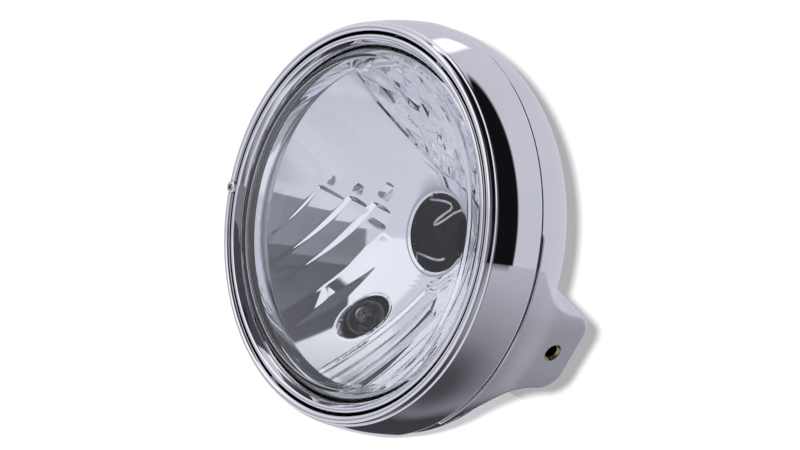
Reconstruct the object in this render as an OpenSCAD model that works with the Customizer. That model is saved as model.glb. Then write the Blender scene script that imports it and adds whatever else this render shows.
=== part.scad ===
// Round motorcycle headlight of the seven inch class, chrome, with a clear lens.
// The lamp looks along -Y, +X is at the viewer's right and +Z is up.
// The origin lies on the lamp axis, in line with the two side mounting holes.

/* [Trim ring] */
// Radius of the front shoulder, where the side band starts
shoulder_r = 95; // [93:0.5:98]
// How far the side band flares out on its way to the rear edge
flare = 3.9; // [2:0.1:6]
// Length of the side band behind the shoulder
band_len = 23.3; // [21:0.1:30]
// Height of the front bead above the shoulder
bead_h = 4.5; // [3:0.1:6]
// Width of the front bead, from the groove to the shoulder step
bead_w = 3.8; // [3:0.1:4.4]
// Depth of the lip that lines the groove, behind the shoulder
lip_len = 4.5; // [3.6:0.1:5]
// Thickness of the ring's sheet
ring_wall = 1.2; // [0.8:0.1:1.5]
// Clear gap between the trim ring and the optic ring
groove_gap = 2; // [1.8:0.1:3]

/* [Shell] */
// Gap left at the seam between the ring and the shell
seam_gap = 1.7; // [1:0.1:3]
// Thickness of the shell's sheet
shell_wall = 1.4; // [1:0.1:2]
// Straight length of the shell behind the seam
shell_straight = 3; // [2:0.5:8]
// Radius of the bend behind the straight part
shell_bend = 30; // [24:1:36]
// Radius of the flat back, up to the bend round it
back_flat = 24; // [16:0.5:28]
// Radius of the bend round the flat back
back_bend = 35; // [30:1:40]
// Depth of the whole lamp behind the ring's shoulder
lamp_depth = 90; // [88:1:110]
// Length of the spigot that enters the trim ring
spigot_len = 7.4; // [6.5:0.1:7.8]

/* [Side mounts] */
// Distance of the mounting holes behind the ring's shoulder
ear_back = 55; // [52:0.5:60]
// How far each mounting face lies inside the shell's largest radius
ear_in = 1.2; // [0.7:0.1:3]
// Half height of the ear beside its hole
ear_half = 21; // [17:0.5:24]
// How far the ear reaches behind its hole
ear_tip = 15; // [13:0.5:18]
// Radius of the ear's round corners
ear_corner = 11; // [8:0.5:13]
// Radius of the hollow flare between the ear and the seam
ear_flare = 32; // [26:1:36]
// Diameter of the clearance hole in the ear
ear_hole_d = 9.2; // [8.6:0.1:10]
// Tapped diameter of the nut behind the ear
nut_bore_d = 6.8; // [6:0.1:8]
// Width across the flats of that nut
nut_af = 13; // [11:0.5:15]
// Thickness of that nut
nut_h = 6.5; // [5:0.5:9]

/* [Lens] */
// How far the middle of the lens stands in front of its rim
lens_crown = 7; // [4:0.5:10]
// Width of the border that curves back to the rim
lens_border = 5.3; // [3:0.1:8]
// Thickness of the glass
lens_t = 3.5; // [3:0.1:5]
// Thickness of the rubber ring in front of the glass
gasket_t = 1; // [0.6:0.1:1.6]

/* [Reflector] */
// Depth of the neck opening behind the ring's shoulder
neck_y = 52; // [48:0.5:56]
// Diameter of the neck opening that takes the main bulb
neck_d = 38.5; // [36:0.5:40]
// Wall of the moulded reflector
reflector_wall = 2.2; // [1.8:0.1:3]
// Width of one flute in the lower half
flute_w = 9.4; // [7:0.1:12]
// Depth of the flutes and of the steps between the fields
flute_h = 1.4; // [0.6:0.1:2]
// Distance of the position light from the edge of the dish
position_in = 27.3; // [24:0.1:32]
// Width of the position light's opening
position_w = 19; // [16:0.5:21]
// Height of that opening beyond its width
position_slot = 4; // [2:0.5:6]

/* [Aim] */
// Place of the aiming screw on the ring, in degrees from the viewer's right
aim_deg = 203.5; // [195:0.5:215]
// Diameter of the aiming screw
aim_d = 3; // [2.5:0.1:3.4]
// Diameter of the aiming screw's head
aim_head_d = 6; // [5:0.1:6.2]
// Diameter of the two pivot pins
pivot_d = 3.2; // [2.4:0.1:4]

/* [Hidden] */
$fn = 96;
// Clearance between pieces that fit into each other
fit = 0.2;
// Running clearance between the pivot pins and their holes
pivot_fit = 0.08;
// Clearance round the aiming screw in the trim ring
aim_fit = 0.35;
// Clearance round it in its nut and lug, which swing a little as the lamp is aimed
swing_fit = 0.65;
// Travel of the aiming nut along its screw, to each side
aim_travel = 3.8;

lip_r = shoulder_r - 4.6;
bead_r = bead_w / 2;
step_w = 0.6;
band_r = shoulder_r + flare;
hem_r = 1;
optic_r = lip_r - groove_gap;
shell_r = band_r - 0.7;
spigot_r = band_r - ring_wall - 2.1;
shell_front = band_len + seam_gap;
spigot_front = shell_front - spigot_len;
bend_y = shell_front + shell_straight;
cavity_r = spigot_r - shell_wall;

// Centres of the two bends, and the slope of the cone that runs from one to the other
bend_c = [shell_r - shell_bend, bend_y];
back_c = [back_flat, lamp_depth - back_bend];
bend_gap = back_c - bend_c;
cone_deg = atan2(bend_gap[1], bend_gap[0]) - acos((shell_bend - back_bend) / norm(bend_gap));

// Mounting faces, and where the ears start inside the bowl
ear_x = shell_r - ear_in;
ear_root = shell_r * 0.4;

// Optic ring and glass
crest_r = 1.5;
crest_y = -3.9;
optic_wall = 1.2;
aperture_r = optic_r - 4;
optic_in = optic_r - optic_wall;
ledge_y = 1;
skirt_end = 10;
glass_r = optic_in - 0.4;
glass_y = ledge_y + gasket_t;
glass_back = glass_y + lens_t;
lens_edge = 1.9;
flange_t = 2.5;
flange_back = glass_back + flange_t;

// Reflector: a paraboloid from the neck to a short side wall
neck_r = neck_d / 2;
dish_r = glass_r - 8;
side_wall = 6;
dish_y = glass_back + side_wall;
dish_k = (neck_y - dish_y) / (dish_r * dish_r - neck_r * neck_r);
wall_draft = 1.8;
collar_r = neck_r + 9;
field_step = 0.7;
back_gap = reflector_wall + flute_h;
seat_r = neck_r + 12.75;
seat_y = neck_y + 3;
seat_t = 1.5;
clip_t = 0.8;
wire_d = 1.6;
wire_y = seat_y + seat_t + wire_d / 2 + 0.05;
pivot_y = 1.5;

// Aiming screw, its pocket and its nut
aim_r = lip_r + 2;
pocket_r = aim_head_d / 2 + 0.5;
pocket_y = -0.4;
pocket_floor = pocket_y + ring_wall;
lug_front = lip_len + aim_travel + 0.3;
nut_w = 5.4;
aim_nut_h = 3;
aim_nut_y = lug_front + 1.4;
aim_end = spigot_front - 0.6;

// Ring screw at the bottom of the lamp
ring_screw_y = spigot_front + 2.7;
ring_screw_d = 3.5;
ring_screw_head = 7;

// Position light
position_z = dish_r - position_in;
socket_wall = 1;
socket_len = 23;
socket_back = neck_y + 3;
socket_front = socket_back - socket_len;
bulb_d = 10;

// Rubber boot over the neck
boot_t = 2.8;
boot_end_t = 2.5;
boot_end_r = 19;
boot_hole_r = 12;
boot_end = lamp_depth - 12;

// Cable grommet in the flat back
grommet_hole_r = 9;
grommet_bore_r = 5.5;
grommet_lip = 2.5;

// Spring round the aiming screw
spring_wire = 0.6;
spring_r = aim_d / 2 + 0.6;
spring_turns = 5;

function arc(c, r, a0, a1, n) = [for (i = [0 : n]) let (a = a0 + (a1 - a0) * i / n) c + r * [cos(a), sin(a)]];
function rev(list) = [for (i = [len(list) - 1 : -1 : 0]) list[i]];
function spread(a, b, n) = [for (i = [0 : n]) a + (b - a) * i / n];

// Children stand where the ring's shoulder is at y = 0 and move to the lamp's frame
module lamp() {
    translate([0, -ear_back, 0]) children();
}

// A profile of [radius, y] points turned round the lamp axis
module turned(profile) {
    rotate([-90, 0, 0]) rotate_extrude($fn = 180) polygon(profile);
}

// The same over a part of the circle, centred on an angle seen from the front
module turned_part(profile, at_deg, span_deg) {
    rotate([0, -at_deg, 0]) rotate([-90, 0, 0]) rotate([0, 0, -span_deg / 2])
        rotate_extrude(angle = span_deg, $fn = 180) polygon(profile);
}

// Children stand on the +X side and move to an angle seen from the front
module at_angle(deg) {
    rotate([0, -deg, 0]) children();
}

// A cylinder along Y from y0 to y1
module rod_y(r, y0, y1) {
    translate([0, y0, 0]) rotate([-90, 0, 0]) cylinder(r = r, h = y1 - y0);
}

// Outer surface of the side band at a distance behind the shoulder
function band_at(y) = shoulder_r + 0.5 + (flare - 0.5) * y / band_len + 0.6 * sin(180 * y / band_len);

// Flat spot on the band for the ring screw's head
ring_seat_r = band_at(ring_screw_y) - 0.4;

function band_points(off) = [for (i = [1 : 8]) let (y = (band_len - hem_r) * i / 8) [band_at(y) - off, y]];

function ring_outer() = concat(
    [[lip_r, lip_len]],
    arc([lip_r + bead_r, bead_r - bead_h], bead_r, 180, 335, 10),
    [[lip_r + bead_w + 0.1, -1.9], [shoulder_r - step_w, -1.4]],
    arc([shoulder_r - step_w, -0.4], 1, 270, 350, 5),
    band_points(0),
    arc([band_r - hem_r, band_len - hem_r], hem_r, 0, 90, 5)
);

function ring_inner() = concat(
    [[band_r - 2 * ring_wall, band_len - hem_r + 0.4]],
    rev(band_points(ring_wall)),
    [[shoulder_r - step_w - 0.3, 0.2], [lip_r + bead_w - 0.9, -0.6]],
    arc([lip_r + bead_r, bead_r - bead_h], bead_r - 0.8, 340, 180, 6),
    [[lip_r + ring_wall, lip_len]]
);

module trim_ring() {
    color("silver") lamp() difference() {
        union() {
            turned(concat(ring_outer(), ring_inner()));
            intersection() {
                turned(concat(ring_outer(), [[band_r - hem_r, lip_len]]));
                at_angle(aim_deg) translate([aim_r, 0, 0]) rod_y(pocket_r + 0.9, -bead_h - 1, pocket_floor);
            }
        }
        at_angle(aim_deg) translate([aim_r, 0, 0]) {
            rod_y(pocket_r, -bead_h - 1, pocket_y);
            rod_y(aim_d / 2 + aim_fit, pocket_y - 1, pocket_floor + 1);
            rod_y(spring_r + spring_wire / 2 + fit, pocket_floor, lip_len + 1);
        }
        for (side = [0, 180]) rotate([0, side, 0]) pivot_bore(0);
        ring_screw_hole();
        translate([0, ring_screw_y, -band_r - 5]) cylinder(r = ring_screw_head / 2 + 0.3, h = band_r + 5 - ring_seat_r);
    }
}

// Clearance hole for the ring screw, from below through the band and the spigot
module ring_screw_hole() {
    translate([0, ring_screw_y, -band_r - 5]) cylinder(r = ring_screw_d / 2 + fit, h = 18);
}

// Upright bore through both rings for a pivot pin
module pivot_bore(extra) {
    translate([0, pivot_y, optic_r - 6]) cylinder(r = pivot_d / 2 + extra, h = 12);
}

// Solid of the bowl, drawn in by a wall thickness for its hollow
module bowl(off) {
    front = off > 0 ? spigot_front - 1 : spigot_front;
    step = shell_front + off;
    turned(concat(
        [[0, front], [spigot_r - off, front], [spigot_r - off, step], [shell_r - off, step]],
        arc(bend_c, shell_bend - off, 0, cone_deg, 8),
        arc(back_c, back_bend - off, cone_deg, 90, 6),
        [[0, lamp_depth - off]]
    ));
}

// Outline of an ear from the side: a flare that runs out of the seam, and a tip with round corners
module ear_outline(off) {
    half = ear_half - off;
    corner = ear_corner - off;
    flare_r = ear_flare + off;
    join_y = ear_back + ear_tip - ear_corner;
    root = arc([join_y, half + flare_r], flare_r, 195, 270, 8);
    front = min(bend_y, root[0][0]) - 1;
    upper = concat([[front, root[0][1]]], root, rev(arc([join_y, half - corner], corner, 0, 84, 6)));
    lower = [for (p = rev(upper)) [p[0], -p[1]]];
    polygon(concat(upper, lower));
}

// Both ears as solids that end just inside the shell's largest radius
module ears(off) {
    intersection() {
        for (side = [0, 180]) rotate([0, 0, side]) mirror([0, side / 180, 0])
            translate([ear_root, 0, 0]) rotate([90, 0, 90]) linear_extrude(ear_x - off - ear_root) ear_outline(off);
        rod_y(shell_r - 0.1 - off, shell_front + 1 + off, lamp_depth);
    }
}

module shell() {
    color("silver") lamp() difference() {
        union() {
            bowl(0);
            ears(0);
        }
        bowl(shell_wall);
        ears(shell_wall);
        translate([-ear_x - 5, ear_back, 0]) rotate([0, 90, 0]) cylinder(d = ear_hole_d, h = 30);
        translate([ear_x + 5, ear_back, 0]) rotate([0, -90, 0]) cylinder(d = ear_hole_d, h = 30);
        rod_y(grommet_hole_r, lamp_depth - 10, lamp_depth + 1);
        ring_screw_hole();
    }
}

// Rubber seal between the spigot and the side band, open at the ring screw
module seam_seal() {
    y0 = band_len - 3.2;
    y1 = band_len - 1.4;
    seal_r = band_at(y0) - ring_wall - fit;
    color("black") lamp() difference() {
        turned([[spigot_r, y0], [seal_r, y0], [seal_r, y1], [spigot_r, y1]]);
        ring_screw_hole();
    }
}

// Nuts welded behind the two ears
module ear_nuts() {
    color("goldenrod") lamp() for (side = [-1, 1])
        translate([side * (ear_x - shell_wall), ear_back, 0]) rotate([0, -90 * side, 0]) difference() {
            union() {
                cylinder(d = nut_af * 2 / sqrt(3), h = nut_h, $fn = 6);
                cylinder(d = nut_af + 4, h = 1.5);
            }
            translate([0, 0, -1]) cylinder(d = nut_bore_d, h = nut_h + 2);
        }
}

// Tab on the trim ring that hooks behind the shell's spigot at the top
module ring_hook() {
    y0 = spigot_front - 3;
    tab_r = cavity_r - fit;
    color("gray") lamp() turned_part([[tab_r - ring_wall, y0], [band_at(y0) - ring_wall, y0],
        [band_at(y0) - ring_wall, y0 + ring_wall], [tab_r, y0 + ring_wall],
        [tab_r, spigot_front + 4], [tab_r - ring_wall, spigot_front + 4]], 90, 12);
}

// Cross recess, seen along the screw's axis
module cross_recess(size, depth) {
    for (a = [0, 90]) rotate([0, 0, a]) translate([-size / 2, -size / 8, 0]) cube([size, size / 4, depth]);
}

// Pan head screw along +Z with its head below z = 0
module pan_screw(d, head_d, head_h, length) {
    difference() {
        union() {
            translate([0, 0, -head_h]) intersection() {
                translate([0, 0, head_d * 0.62]) sphere(r = head_d * 0.62, $fn = 64);
                cylinder(d = head_d, h = head_h);
            }
            cylinder(d = d, h = length);
        }
        translate([0, 0, -head_h - 0.01]) cross_recess(head_d * 0.62, head_h * 0.6);
    }
}

module ring_screw() {
    color("silver") lamp() translate([0, ring_screw_y, -ring_seat_r])
        pan_screw(ring_screw_d, ring_screw_head, 2.2, ring_seat_r - cavity_r + 5);
}

module ring_screw_nut() {
    color("silver") lamp() translate([0, ring_screw_y, -cavity_r + 0.1]) difference() {
        translate([-3.5, -3.5, 0]) cube([7, 7, 3]);
        translate([0, 0, -1]) cylinder(r = ring_screw_d / 2 + 0.02, h = 5);
    }
}

// Rubber grommet for the cable, in the middle of the flat back
module cable_grommet() {
    outer = grommet_hole_r + grommet_lip;
    y0 = lamp_depth - shell_wall - grommet_lip;
    y1 = lamp_depth + grommet_lip;
    color("black") lamp() turned([[grommet_bore_r, y0], [outer - 1, y0], [outer, y0 + 1],
        [outer, lamp_depth - shell_wall], [grommet_hole_r, lamp_depth - shell_wall],
        [grommet_hole_r, lamp_depth], [outer, lamp_depth], [outer, y1 - 1], [outer - 1, y1],
        [grommet_bore_r, y1]]);
}

// Riveted pins at the top and bottom on which the optic swings
module pivot_pins() {
    color("silver") lamp() for (side = [0, 180]) rotate([0, side, 0]) translate([0, pivot_y, 0]) {
        translate([0, 0, optic_in]) cylinder(d = pivot_d, h = lip_r + ring_wall - optic_in);
        translate([0, 0, lip_r + ring_wall]) cylinder(d = pivot_d + 1.2, h = 0.6);
    }
}

module pivot_washers() {
    color("white") lamp() for (side = [0, 180]) rotate([0, side, 0])
        translate([0, pivot_y, optic_r + 0.15]) difference() {
            cylinder(d = pivot_d + 2.4, h = groove_gap - 0.3 - 0.15);
            translate([0, 0, -1]) cylinder(r = pivot_d / 2 + 0.02, h = groove_gap + 2);
        }
}

// Chromed ring that holds the glass, with the lug for the aiming nut
module optic_ring() {
    lug_out = aim_r + nut_w / 2 - 0.4;
    color("silver") lamp() difference() {
        union() {
            turned(concat(
                [[optic_r, skirt_end]],
                arc([optic_r - crest_r, crest_y + crest_r], crest_r, 0, -150, 8),
                [[aperture_r + 0.9, -1.4], [aperture_r + 0.1, -0.6], [aperture_r, ledge_y]],
                [[optic_in, ledge_y], [optic_in, skirt_end]]
            ));
            turned_part([[optic_in, lug_front], [lug_out, lug_front], [lug_out, aim_nut_y],
                [optic_in, aim_nut_y]], aim_deg, 8);
        }
        at_angle(aim_deg) translate([aim_r, 0, 0]) rod_y(aim_d / 2 + swing_fit, lug_front - 1, aim_nut_y + 1);
        for (side = [0, 180]) rotate([0, side, 0]) pivot_bore(pivot_fit);
    }
}

// Clear glass: a shallow dome, a border that curves back and a flat rim
module lens() {
    edge_r = aperture_r - 0.6;
    dome_r = edge_r - lens_border;
    back_r = dome_r - 1.2;
    top_y = glass_y - 0.4 - lens_crown;
    drop = lens_crown - lens_edge;
    function dome(r) = top_y + drop * pow(r / dome_r, 2);
    function border(r0, r1, y0, y1) = [for (a = [18 : 18 : 90]) [r0 + (r1 - r0) * sin(a), y0 + (y1 - y0) * (1 - cos(a))]];
    color("lightcyan", 0.4) lamp() turned(concat(
        [for (r = spread(0, dome_r, 10)) [r, dome(r)]],
        border(dome_r, edge_r, dome(dome_r), glass_y),
        [[glass_r, glass_y], [glass_r, glass_back]],
        rev(border(back_r, edge_r - 2.2, dome(back_r) + lens_t - 0.3, glass_back)),
        rev([for (r = spread(0, back_r, 10)) [r, dome(r) + lens_t - 0.3]])
    ));
}

module lens_gasket() {
    color("dimgray") lamp() turned([[aperture_r + 0.3, ledge_y], [glass_r, ledge_y],
        [glass_r, glass_y], [aperture_r + 0.3, glass_y]]);
}

// Depth of the plain dish at a radius
function dish(r) = neck_y - dish_k * (r * r - neck_r * neck_r);

// Flutes in the lower half, pillows in the upper field and a smooth field between them
function low_edge(x) = -0.31 * abs(x) - 1;
function high_edge(x) = lookup(x, [[-62, 52], [-44, 29], [-13, 24.5], [80, 24]]);
function flute(x, z) = flute_h * abs(sin(180 * x / flute_w)) * min(1, (low_edge(x) - z) / 12);
function pillow(x, z) = flute_h * (0.5 - 0.25 * cos(30 * x) - 0.25 * cos(36 * z));
function relief(x, z) = norm([x, z]) < collar_r + 0.1 ? 0
    : field_step + (z < low_edge(x) ? flute(x, z) : z > high_edge(x) ? pillow(x, z) : 0);
function front_at(x, z) = let (r = norm([x, z])) dish(r) - relief(x, z) * min(1, max(0, (dish_r - r) / 2));

reflector_div = 120;
dish_rings = [for (i = [0 : 15]) collar_r + 0.6 + (dish_r - collar_r - 0.6) * pow(i / 15, 0.92)];
front_rings = concat([neck_r, neck_r + 4, collar_r], dish_rings);

function ring_of(r, y) = [for (j = [0 : reflector_div - 1]) let (a = 360 * j / reflector_div)
    [r * cos(a), y, r * sin(a)]];
function front_ring(r) = [for (p = ring_of(r, 0)) [p[0], front_at(p[0], p[2]), p[2]]];

// Moulded reflector: its front, side wall, flange, smooth back and neck, as one closed skin
module reflector_skin() {
    wall_out = dish_r + wall_draft + reflector_wall;
    rings = concat(
        [for (r = front_rings) front_ring(r)],
        [ring_of(dish_r + wall_draft, glass_back), ring_of(glass_r, glass_back), ring_of(glass_r, flange_back)],
        [ring_of(wall_out, flange_back)],
        [for (r = spread(wall_out, seat_r, 5)) ring_of(r, dish(r) + back_gap)],
        [ring_of(seat_r, seat_y), ring_of(neck_r, seat_y)]
    );
    n = len(rings);
    m = reflector_div;
    points = [for (ring = rings) each ring];
    faces = [for (i = [0 : n - 1], j = [0 : m - 1]) let (a = i * m + j, b = i * m + (j + 1) % m,
        c = ((i + 1) % n) * m + (j + 1) % m, d = ((i + 1) % n) * m + j) each [[a, b, c], [a, c, d]]];
    polyhedron(points, faces);
}

module position_slot_shape(r, y0, y1) {
    for (dz = [-0.5, 0.5]) translate([0, 0, -position_z + dz * position_slot]) rod_y(r, y0, y1);
    translate([-r, y0, -position_z - position_slot / 2]) cube([2 * r, y1 - y0, position_slot]);
}

module reflector() {
    color("lightgray") lamp() difference() {
        reflector_skin();
        position_slot_shape(position_w / 2, glass_back + 2, neck_y + 10);
    }
}

// Spring clips that press the reflector's flange against the optic ring
module unit_clips() {
    color("gray") lamp() for (a = [45, 135, 225, 315]) turned_part([
        [glass_r - 2.5 * clip_t, flange_back], [optic_in, flange_back], [optic_in, skirt_end],
        [optic_r, skirt_end], [optic_r, skirt_end + clip_t], [glass_r - clip_t, skirt_end + clip_t],
        [glass_r - clip_t, flange_back + clip_t], [glass_r - 2.5 * clip_t, flange_back + clip_t]], a, 8);
}

// Steel plate behind the neck with three notches that set the bulb
module bulb_seat() {
    color("silver") lamp() difference() {
        rod_y(seat_r - 1, seat_y, seat_y + seat_t);
        rod_y(neck_r, seat_y - 1, seat_y + seat_t + 1);
        for (a = [90, 215, 325]) at_angle(a) translate([neck_r - 2, seat_y - 1, -2.5]) cube([5, seat_t + 2, 5]);
    }
}

// Corners of a path cut twice, so that a wire bends in curves
function cut_corners(path) = concat([path[0]],
    [for (i = [0 : len(path) - 2]) each [path[i] * 0.75 + path[i + 1] * 0.25, path[i] * 0.25 + path[i + 1] * 0.75]],
    [path[len(path) - 1]]);

// Round wire along a path of [x, z] points in an upright plane
module flat_wire(path, d, y) {
    sides = 8;
    n = len(path);
    rings = [for (i = [0 : n - 1]) let (v = path[min(i + 1, n - 1)] - path[max(i - 1, 0)],
        side = [-v[1], v[0]] / norm(v)) [for (k = [0 : sides - 1]) let (b = 360 * k / sides)
            [path[i][0] + d / 2 * cos(b) * side[0], y + d / 2 * sin(b), path[i][1] + d / 2 * cos(b) * side[1]]]];
    side_faces = [for (i = [0 : n - 2], k = [0 : sides - 1]) let (a = i * sides + k,
        b = i * sides + (k + 1) % sides) each [[a, b, b + sides], [a, b + sides, a + sides]]];
    ends = [[for (k = [sides - 1 : -1 : 0]) k], [for (k = [0 : sides - 1]) (n - 1) * sides + k]];
    polyhedron([for (ring = rings) each ring], concat(side_faces, ends));
}

// Wire clip behind the seat, bent in one plane
clip_path = [[20.5, 19.2], [4.5, 19.5], [-6.2, -0.6], [-8.6, 1], [0.5, 17.6], [-21.5, 6.4], [-26, 0],
    [-24, -12], [-15, -19], [-9, -17.8], [6, -12.1], [9.6, -8.4]];
module bulb_clip() {
    color("silver") lamp() flat_wire(cut_corners(cut_corners(clip_path)), wire_d, wire_y);
}

// Post that carries the wire clip on the seat
module clip_post() {
    end = clip_path[0];
    color("gray") lamp() translate([end[0] + 1.2, 0, end[1] + 1]) difference() {
        translate([-2.4, seat_y + seat_t, -1.8]) cube([3.6, wire_d + 1.6, 3.2]);
        translate([-1.2, wire_y, -1]) sphere(d = wire_d + 2 * fit, $fn = 24);
        translate([-1.2, wire_y, -1]) rotate([0, -90, 0]) cylinder(d = wire_d + 2 * fit, h = 8, $fn = 24);
    }
}

// Rubber boot over the neck
module dust_boot() {
    boot_in = seat_r + fit;
    boot_y = seat_y + seat_t + wire_d + 2.5;
    color("black") lamp() turned([[boot_in, seat_y - boot_t], [boot_in + boot_t, seat_y - boot_t],
        [boot_in + boot_t, boot_y + 1], [boot_end_r, boot_end], [boot_hole_r, boot_end],
        [boot_hole_r, boot_end - boot_end_t], [boot_end_r - 1, boot_end - boot_end_t], [boot_in - 1, boot_y],
        [boot_in, boot_y - 1]]);
}

// Socket of the position light, pushed through the reflector
module position_socket() {
    r = position_w / 2 - fit;
    color("dimgray") lamp() difference() {
        position_slot_shape(r, socket_front, socket_back);
        position_slot_shape(r - socket_wall, socket_front - 1, socket_back - 6);
        translate([0, 0, -position_z]) rod_y(bulb_d / 2 - 1 + fit, socket_back - 8, socket_back - 2);
    }
}

// Capless bulb of the position light, glass envelope and pinch as one
module position_bulb() {
    dome_y = socket_front + 4;
    color("white", 0.5) lamp() translate([0, 0, -position_z]) {
        translate([0, dome_y + bulb_d / 2, 0]) sphere(d = bulb_d, $fn = 48);
        rod_y(bulb_d / 2, dome_y + bulb_d / 2, dome_y + 12);
        rod_y(bulb_d / 2 - 1, dome_y + 12, socket_back - 2.3);
    }
}

module aim_nut() {
    color("silver") lamp() at_angle(aim_deg) translate([aim_r, aim_nut_y, 0]) difference() {
        translate([-nut_w / 2, 0, -nut_w / 2]) cube([nut_w, aim_nut_h, nut_w]);
        rod_y(aim_d / 2 + swing_fit, -1, aim_nut_h + 1);
    }
}

// Coil spring round the aiming screw, from the pocket to the lug
module aim_spring() {
    y0 = pocket_floor + spring_wire / 2;
    rise = lug_front - pocket_floor - spring_wire;
    steps = spring_turns * 14;
    sides = 6;
    rings = [for (i = [0 : steps]) let (a = 360 * spring_turns * i / steps, y = y0 + rise * i / steps)
        [for (k = [0 : sides - 1]) let (b = 360 * k / sides, r = spring_r + spring_wire / 2 * cos(b))
            [r * cos(a), y + spring_wire / 2 * sin(b), r * sin(a)]]];
    side_faces = [for (i = [0 : steps - 1], k = [0 : sides - 1]) let (a = i * sides + k,
        b = i * sides + (k + 1) % sides) each [[a, a + sides, b + sides], [a, b + sides, b]]];
    ends = [[for (k = [0 : sides - 1]) k], [for (k = [sides - 1 : -1 : 0]) steps * sides + k]];
    color("silver") lamp() at_angle(aim_deg) translate([aim_r, 0, 0])
        polyhedron([for (ring = rings) each ring], concat(side_faces, ends));
}

module aim_screw() {
    color("silver") lamp() at_angle(aim_deg) translate([aim_r, pocket_y, 0]) rotate([-90, 0, 0])
        pan_screw(aim_d, aim_head_d, 2.3, aim_end - pocket_y);
}

trim_ring();
shell();
seam_seal();
ear_nuts();
ring_hook();
ring_screw();
ring_screw_nut();
cable_grommet();
pivot_pins();
pivot_washers();
optic_ring();
lens();
lens_gasket();
reflector();
unit_clips();
bulb_seat();
bulb_clip();
clip_post();
dust_boot();
position_socket();
position_bulb();
aim_nut();
aim_spring();
aim_screw();
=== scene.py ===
"""Round chrome motorcycle headlight: surfaces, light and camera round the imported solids."""

import logging
import math
from dataclasses import dataclass, field
from enum import Enum
from typing import Sequence

import bmesh
import bpy
import numpy as np
from mathutils import Matrix, Vector


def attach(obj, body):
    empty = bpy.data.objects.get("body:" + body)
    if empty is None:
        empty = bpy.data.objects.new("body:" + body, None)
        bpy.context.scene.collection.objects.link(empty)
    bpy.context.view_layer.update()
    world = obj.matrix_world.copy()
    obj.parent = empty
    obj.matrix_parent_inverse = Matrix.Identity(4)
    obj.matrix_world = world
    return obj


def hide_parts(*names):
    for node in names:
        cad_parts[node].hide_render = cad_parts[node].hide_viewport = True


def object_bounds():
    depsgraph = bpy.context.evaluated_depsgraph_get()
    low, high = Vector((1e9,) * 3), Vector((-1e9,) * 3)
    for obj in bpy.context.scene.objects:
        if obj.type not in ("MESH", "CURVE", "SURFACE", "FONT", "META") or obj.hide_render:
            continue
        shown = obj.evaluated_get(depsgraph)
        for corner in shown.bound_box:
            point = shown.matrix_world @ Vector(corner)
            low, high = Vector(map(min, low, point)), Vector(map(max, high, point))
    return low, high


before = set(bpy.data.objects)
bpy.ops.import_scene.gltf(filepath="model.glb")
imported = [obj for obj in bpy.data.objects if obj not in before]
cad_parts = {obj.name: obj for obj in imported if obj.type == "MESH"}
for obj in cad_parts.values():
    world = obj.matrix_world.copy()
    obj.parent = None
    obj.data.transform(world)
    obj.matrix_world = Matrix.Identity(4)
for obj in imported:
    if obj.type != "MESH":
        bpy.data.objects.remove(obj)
CAD_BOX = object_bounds()

LOG = logging.getLogger("headlight")
MM = 0.001
# Distance of the ring's shoulder in front of the origin, in millimetres
SHOULDER_MM = 55.0
# Radius where a turned profile closes near the lamp axis, in millimetres
AXIS_R = 0.02
# How far a cutting tool reaches past the surface that it cuts, in millimetres
PAST_MM = 1.0
# Edges that bend by more than this are sharp, on sheet metal and on cutting tools
SHEET_SHARP_DEG = 32.0
TOOL_SHARP_DEG = 30.0

Point = tuple[float, float]
Colour = tuple[float, float, float]


class Body(str, Enum):
    """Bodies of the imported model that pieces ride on."""

    HOUSING = "housing"
    OPTIC = "optic"
    AIM = "aim_screw"


# Meshes


def arc(centre: Point, radius: float, start: float, end: float, steps: int) -> list[Point]:
    """Points on an arc in a profile.

    Args:
        centre: Middle of the arc as radius and depth.
        radius: Radius of the arc.
        start: First angle in degrees, from outward to backward.
        end: Last angle in degrees.
        steps: Number of stretches.

    Returns:
        The points, ends included.
    """
    angles = np.radians(np.linspace(start, end, steps + 1))
    return [(centre[0] + radius * math.cos(a), centre[1] + radius * math.sin(a)) for a in angles]


def line(start: Point, end: Point, steps: int) -> list[Point]:
    """Points on a straight stretch of a profile, ends included.

    Args:
        start: First point.
        end: Last point.
        steps: Number of stretches.

    Returns:
        The points.
    """
    return [tuple(np.array(start) + (np.array(end) - start) * i / steps) for i in range(steps + 1)]


def without_repeats(points: Sequence[Point], least: float = 1e-4) -> list[Point]:
    """A profile without points that fall on the one before.

    Args:
        points: Profile points.
        least: Smallest distance to keep.

    Returns:
        The shorter list.
    """
    kept = [points[0]]
    for point in points[1:]:
        if math.dist(point, kept[-1]) > least:
            kept.append(point)
    if math.dist(kept[0], kept[-1]) <= least:
        kept.pop()
    return kept


def placed(points: np.ndarray) -> np.ndarray:
    """Points counted from the ring's shoulder in millimetres, as points of the frame in metres."""
    return (points - np.array([0.0, SHOULDER_MM, 0.0])) * MM


def circle(angles: np.ndarray, radius: float, y: float) -> np.ndarray:
    """Points round the lamp axis, one to a row.

    Args:
        angles: Angles round the axis.
        radius: Radius of the circle.
        y: Its depth.

    Returns:
        The points.
    """
    return np.stack([np.cos(angles) * radius, np.full_like(angles, y), np.sin(angles) * radius], axis=-1)


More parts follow.
